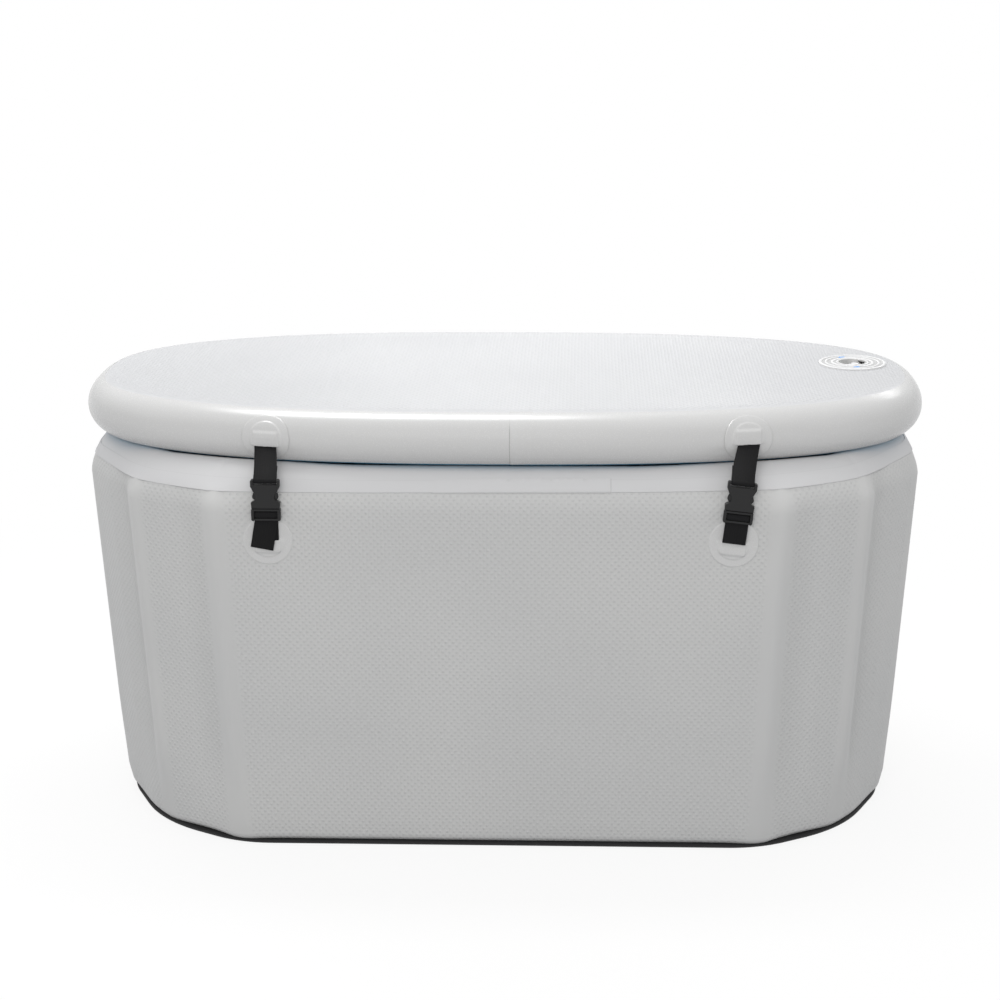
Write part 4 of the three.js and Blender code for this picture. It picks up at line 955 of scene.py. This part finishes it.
def tubPatch(line):
    bm = patchDisc(-0.003)
    for vert in bm.verts:
        side, up, lift = vert.co.x, -vert.co.y, vert.co.z + 0.0002
        z = strapShape["patchHeight"] + up
        vert.co = line @ Vector((side, -wallFace(z) - lift, up))
    bmesh.ops.recalc_face_normals(bm, faces=bm.faces[:])
    return bm


def lidPatch(edge, slitArc):
    bm = patchDisc(slitArc)
    for vert in bm.verts:
        vert.co = edge @ onRail(vert.co.x, vert.co.y, vert.co.z + lidShape["lip"] + 0.0001)
    return bm


# a copy of the moulded node, its doubles merged and its edges rounded
def mouldedCopy(node, name, body, material, width=0.0006):
    bm = bmesh.new()
    bm.from_mesh(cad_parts[node].data)
    bmesh.ops.remove_doubles(bm, verts=bm.verts[:], dist=0.00001)
    bmesh.ops.dissolve_limit(bm, angle_limit=math.radians(1), verts=bm.verts[:], edges=bm.edges[:])
    piece = finishPiece(name, bm, body, material, [node], sharp=30)
    edge = piece.modifiers.new("edge", "BEVEL")
    edge.width = width
    edge.segments = 2
    edge.limit_method = "ANGLE"
    edge.angle_limit = math.radians(25)
    edge.harden_normals = True
    return piece



def addStrap(place):
    name = place["name"]
    x, lean = place["x"], math.radians(place["lean"])
    side = Matrix.Rotation(place["turn"], 4, "Z")
    line = side @ Matrix.Translation((x, 0, strapShape["patchHeight"])) @ Matrix.Rotation(lean, 4, "Y")
    edge = side @ railFrame(x + (lidMiddle - strapShape["patchHeight"]) * math.tan(lean) + place["lidShift"])
    finishPiece("tubPatch_" + name, tubPatch(line), "tub", railSheet, ["tub_patch_" + name])
    finishPiece("lidPatch_" + name, lidPatch(edge, place["slit"]), "lid", railSheet, ["lid_patch_" + name])
    strap = webbing(tubStrapFrames(place, line), strapShape["width"], strapShape["thick"])
    finishPiece("tubStrap_" + name, strap, "tub", webbingCloth, ["tub_strap_" + name])
    strap = webbing(lidStrapFrames(line, edge, place["slit"]), strapShape["width"], strapShape["thick"])
    finishPiece("lidStrap_" + name, strap, "lid", webbingCloth, ["lid_strap_" + name])
    mouldedCopy("buckle_male_" + name, "buckleMale_" + name, "tub", bucklePlastic)
    mouldedCopy("buckle_female_" + name, "buckleFemale_" + name, "lid", bucklePlastic)
    for hand in "rl":
        node = f"release_arm_{hand}_{name}"
        mouldedCopy(node, f"releaseArm_{hand}_{name}", node, bucklePlastic)


for strapPlace in strapPlaces:
    addStrap(strapPlace)
print("straps and buckles made")

# air valves and drain, turned about their own line
valveShape = {
    "flange": [
        (0.0275, 0.0003), (0.0275, 0.0032), (0.0282, 0.0038), (0.0296, 0.0038), (0.0304, 0.0033), (0.0308, 0.0020),
        (0.0346, 0.0018), (0.0352, 0.0032), (0.0364, 0.0038), (0.0386, 0.0038), (0.0398, 0.0032), (0.0404, 0.0018),
        (0.0472, 0.0018), (0.0478, 0.0031), (0.0488, 0.0036), (0.0502, 0.0036), (0.0512, 0.0031), (0.0518, 0.0018),
        (0.0572, 0.0018), (0.0578, 0.0032), (0.0590, 0.0038), (0.0608, 0.0037), (0.0622, 0.0029), (0.0629, 0.0014), (0.0630, 0.0001),
    ],
    "body": [
        (0.0275, -0.0340), (0.0275, 0.0032), (0.0271, 0.0036), (0.0254, 0.0036), (0.0250, 0.0032), (0.0250, -0.0270), (0.0036, -0.0270), (0.0036, -0.0300),
        (0.0190, -0.0300), (0.0190, -0.0340),
    ],
    "pin": [
        (0.0, -0.0377), (0.0250, -0.0377), (0.0250, -0.0343), (0.0033, -0.0343), (0.0033, -0.0095), (0.0086, -0.0095),
        (0.0090, -0.0091), (0.0090, -0.0026), (0.0084, -0.0020), (0.0060, -0.0020), (0.0054, -0.0026), (0.0, -0.0030),
    ],
    "lug": [(0.0250, -0.0030), (0.0180, -0.0030), (0.0172, -0.0038), (0.0172, -0.0072), (0.0180, -0.0080), (0.0250, -0.0080)],
    "lugStarts": (25, 145, 265), "lugSpan": 62, "steps": 64, "flatPaintedShade": 0.42,
}


def turnedPiece(profile, matrix, steps, closed=True, flatPaintedShade=0.0):
    bm = bmesh.new()
    verts = [bm.verts.new((radius, 0, z)) for radius, z in profile]
    pairs = list(zip(verts, verts[1:])) + ([(verts[-1], verts[0])] if closed else [])
    edges = [bm.edges.new(pair) for pair in pairs]
    bmesh.ops.spin(bm, geom=verts + edges, cent=(0, 0, 0), axis=(0, 0, 1), angle=2 * math.pi, steps=steps, use_merge=True)
    bmesh.ops.remove_doubles(bm, verts=bm.verts[:], dist=0.000005)
    bmesh.ops.recalc_face_normals(bm, faces=bm.faces[:])
    seamLinesAndPaintedShade = bm.verts.layers.float.new("seamLinesAndPaintedShade")
    # painted shade: the low flats between the flange's raised rings are coloured darker
    for vert in bm.verts:
        vert[seamLinesAndPaintedShade] = flatPaintedShade if 0.0005 < vert.co.z < 0.0026 else 0.0
    bmesh.ops.transform(bm, matrix=matrix, verts=bm.verts[:])
    return bm


portTurn = Matrix.Rotation(-(math.pi / 2 + wallLean), 4, "X")
valvePlaces = [
    ("lid_valve", "lidValve", "lid", Matrix.Translation((lidValve["x"], lidValve["y"], lidTop))),
    ("wall_valve", "wallValve", "tub", Matrix.Translation(wallPoint(wallValve["x"], wallValve["z"])) @ portTurn),
]
# three lugs in the well that a pump's nozzle turns under
def valveLugs(matrix):
    bm = bmesh.new()
    for start in valveShape["lugStarts"]:
        turn = Matrix.Rotation(math.radians(start), 4, "Z")
        face = bm.faces.new([bm.verts.new(turn @ Vector((radius, 0, z))) for radius, z in valveShape["lug"]])
        span = math.radians(valveShape["lugSpan"])
        bmesh.ops.spin(bm, geom=[face], cent=(0, 0, 0), axis=(0, 0, 1), angle=span, steps=10)
    bmesh.ops.recalc_face_normals(bm, faces=bm.faces[:])
    bmesh.ops.transform(bm, matrix=matrix, verts=bm.verts[:])
    return bm


# two small curved arrows pressed into the flange, one each way of the turn
arrowMark = {"radius": 0.0438, "span": 10, "width": 0.0050, "lift": 0.0034, "thick": 0.0017, "starts": (103, 267)}


def valveArrows(matrix):
    bm = bmesh.new()
    for start in arrowMark["starts"]:
        inner, outer = arrowMark["radius"] - arrowMark["width"] / 2, arrowMark["radius"] + arrowMark["width"] / 2
        turn = Matrix.Rotation(math.radians(start), 4, "Z")
        verts = [bm.verts.new(turn @ Vector((radius, 0, arrowMark["lift"]))) for radius in (inner, outer)]
        edge = bm.edges.new(verts)
        made = bmesh.ops.spin(
            bm, geom=verts + [edge], cent=(0, 0, 0), axis=(0, 0, 1), angle=math.radians(arrowMark["span"]), steps=6,
        )["geom_last"]
        ends = [item for item in made if isinstance(item, bmesh.types.BMVert)]
        for vert in ends:
            vert.co.xy = vert.co.xy.normalized() * (arrowMark["radius"] + (vert.co.xy.length - arrowMark["radius"]) * 2.2)
        tip = Matrix.Rotation(math.radians(start + arrowMark["span"] + 6), 4, "Z") @ Vector((arrowMark["radius"], 0, arrowMark["lift"]))
        bm.faces.new([*ends, bm.verts.new(tip)])
    bmesh.ops.recalc_face_normals(bm, faces=bm.faces[:])
    under = bmesh.ops.extrude_face_region(bm, geom=bm.faces[:], use_keep_orig=True)["geom"]
    under = [item for item in under if isinstance(item, bmesh.types.BMVert)]
    bmesh.ops.translate(bm, verts=under, vec=(0, 0, -arrowMark["thick"]))
    bmesh.ops.recalc_face_normals(bm, faces=bm.faces[:])
    bmesh.ops.transform(bm, matrix=matrix, verts=bm.verts[:])
    return bm


for node, name, body, matrix in valvePlaces:
    steps = valveShape["steps"]
    flange = turnedPiece(valveShape["flange"], matrix, steps, flatPaintedShade=valveShape["flatPaintedShade"])
    finishPiece(name + "Flange", flange, body, valvePlastic, [node + "_flange"], sharp=30)
    shell = turnedPiece(valveShape["body"], matrix, steps)
    finishPiece(name + "Body", shell, body, wellPlastic, [node + "_body"], sharp=30)
    finishPiece(name + "Lugs", valveLugs(matrix), body, valvePlastic, sharp=30)
    pin = turnedPiece(valveShape["pin"], matrix, steps, closed=False)
    finishPiece(name + "Pin", pin, node + "_pin", valvePlastic, [node + "_pin"], sharp=30)
    finishPiece(name + "Arrows", valveArrows(matrix), body, blueMark, sharp=30)


def addSpring(node, name, body):
    bm = bmesh.new()
    bm.from_mesh(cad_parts[node].data)
    bmesh.ops.remove_doubles(bm, verts=bm.verts[:], dist=0.00001)
    spring = finishPiece(name, bm, body, springSteel, [node], sharp=80)
    finer = spring.modifiers.new("round", "SUBSURF")
    finer.levels = finer.render_levels = 1
    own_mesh(spring)


for node, name, body, matrix in valvePlaces:
    addSpring(node + "_spring", name + "Spring", body)

drainShape = {
    "body": [
        (0.0160, 0.0236), (0.0160, -0.1083), (0.0200, -0.1083), (0.0200, 0.0026), (0.0380, 0.0026), (0.0380, 0.0062),
        (0.0366, 0.0076), (0.0216, 0.0076), (0.0200, 0.0090), (0.0200, 0.0236),
    ],
    "gasket": [(0.0203, 0.0003), (0.0372, 0.0003), (0.0376, 0.0013), (0.0372, 0.0023), (0.0203, 0.0023)],
    "steps": 64,
}
drainMatrix = Matrix.Translation(wallPoint(drainPlace["x"], drainPlace["z"])) @ portTurn
drainBody = turnedPiece(drainShape["body"], drainMatrix, drainShape["steps"])
finishPiece("drainBody", drainBody, "tub", valvePlastic, ["drain_body"], sharp=30)
drainGasket = turnedPiece(drainShape["gasket"], drainMatrix, drainShape["steps"])
finishPiece("drainGasket", drainGasket, "tub", sealRubber, ["drain_gasket"], sharp=30)
mouldedCopy("drain_nut", "drainNut", "tub", valvePlastic, 0.0008)
mouldedCopy("drain_cap", "drainCap", "drain_cap", valvePlastic, 0.0008)
print("valves and drain made")

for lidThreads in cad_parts["lid_core"].material_slots:
    lidThreads.material = threadCloth

# pale floor and soft studio light
stageLook = {"floor": (0.92, 0.92, 0.92), "bounce": (0.34, 0.345, 0.355), "shadow": 0.15, "world": 0.68, "fadeFrom": 0.9, "fadeTo": 2.2}


def addFloor():
    bm = bmesh.new()
    bmesh.ops.create_grid(bm, x_segments=1, y_segments=1, size=30)
    mesh = bpy.data.meshes.new("paleFloor")
    bm.to_mesh(mesh)
    bm.free()
    floor = bpy.data.objects.new("paleFloor", mesh)
    bpy.context.scene.collection.objects.link(floor)
    material, tree, shader = newMaterial("paleFloor", stageLook["floor"], 0.9)
    rays = addNode(tree, "ShaderNodeLightPath").outputs
    seen = calc(tree, "MAXIMUM", rays["Is Camera Ray"], calc(tree, "MAXIMUM", rays["Is Glossy Ray"], rays["Is Transmission Ray"]))
    tint = blendColor(tree, rays["Is Camera Ray"], (*stageLook["bounce"], 1), (*stageLook["floor"], 1))
    tree.links.new(tint, shader.inputs["Base Color"])
    white = addNode(tree, "ShaderNodeEmission", {"Color": (1, 1, 1, 1), "Strength": 1.0})
    place = addNode(tree, "ShaderNodeTexCoord").outputs["Object"]
    reach = addNode(tree, "ShaderNodeVectorMath", {0: place}, operation="LENGTH").outputs["Value"]
    fade = ramp(tree, reach, stageLook["fadeFrom"], stageLook["fadeTo"], 1 - stageLook["shadow"], 1.0)
    share = calc(tree, "MULTIPLY", seen, fade)
    mix = addNode(tree, "ShaderNodeMixShader", {0: share, 1: shader.outputs[0], 2: white.outputs[0]})
    tree.links.new(mix.outputs[0], tree.nodes["Material Output"].inputs["Surface"])
    mesh.materials.append(material)


def addWorld():
    world = bpy.data.worlds.new("softRoom")
    world.use_nodes = True
    bpy.context.scene.world = world
    tree = world.node_tree
    rays = addNode(tree, "ShaderNodeLightPath").outputs
    seen = calc(tree, "MAXIMUM", rays["Is Camera Ray"], rays["Is Transmission Ray"])
    strength = ramp(tree, seen, 0, 1, stageLook["world"], 1.0)
    background = tree.nodes["Background"]
    background.inputs["Color"].default_value = (1, 1, 1, 1)
    tree.links.new(strength, background.inputs["Strength"])


def addLamp(name, place, aim, size, power, color=(1, 1, 1), mirrored=True, washes=True):
    lamp = bpy.data.objects.new(name, bpy.data.lights.new(name, "AREA"))
    lamp.data.shape = "RECTANGLE"
    lamp.data.size, lamp.data.size_y = size
    lamp.data.energy = power
    lamp.data.color = color
    lamp.visible_glossy = mirrored
    lamp.visible_diffuse = washes
    lamp.location = place
    lamp.rotation_euler = (Vector(aim) - Vector(place)).to_track_quat("-Z", "Y").to_euler()
    bpy.context.scene.collection.objects.link(lamp)


addFloor()
addWorld()
addLamp("railShine", (-0.65, -0.1, 3.3), (-0.65, -0.1, 0.0), (1.5, 0.65), 68, washes=False)
addLamp("overhead", (-0.2, 0.55, 3.2), (-0.2, 0.1, 0.8), (2.4, 0.5), 31, mirrored=False)
addLamp("backTop", (-0.3, 1.6, 3.0), (0, 0, 0.8), (2.4, 0.8), 8, mirrored=False)
addLamp("frontFill", (-0.35, -4.3, 2.1), (0, 0, 0.45), (2.4, 2.0), 55, (1.0, 0.985, 0.965), mirrored=False)
addLamp("leftSide", (-3.2, -1.0, 2.0), (-0.5, 0, 0.6), (1.0, 1.0), 7, mirrored=False)
addLamp("leftEdge", (-2.5, 1.9, 2.8), (-0.6, 0, 0.75), (1.6, 0.6), 18, mirrored=False)
addLamp("rightSide", (3.1, -1.7, 1.9), (0.5, 0, 0.6), (1.0, 1.0), 8, mirrored=False)
addLamp("rightEdge", (2.45, 2.2, 2.8), (0.6, 0, 0.75), (1.4, 0.5), 12)
addLamp("backGlow", (0.0, 4.2, 2.1), (0, 0, 0.8), (1.6, 0.8), 5)
bpy.context.scene.view_settings.view_transform = "Standard"
print("stage and light set")
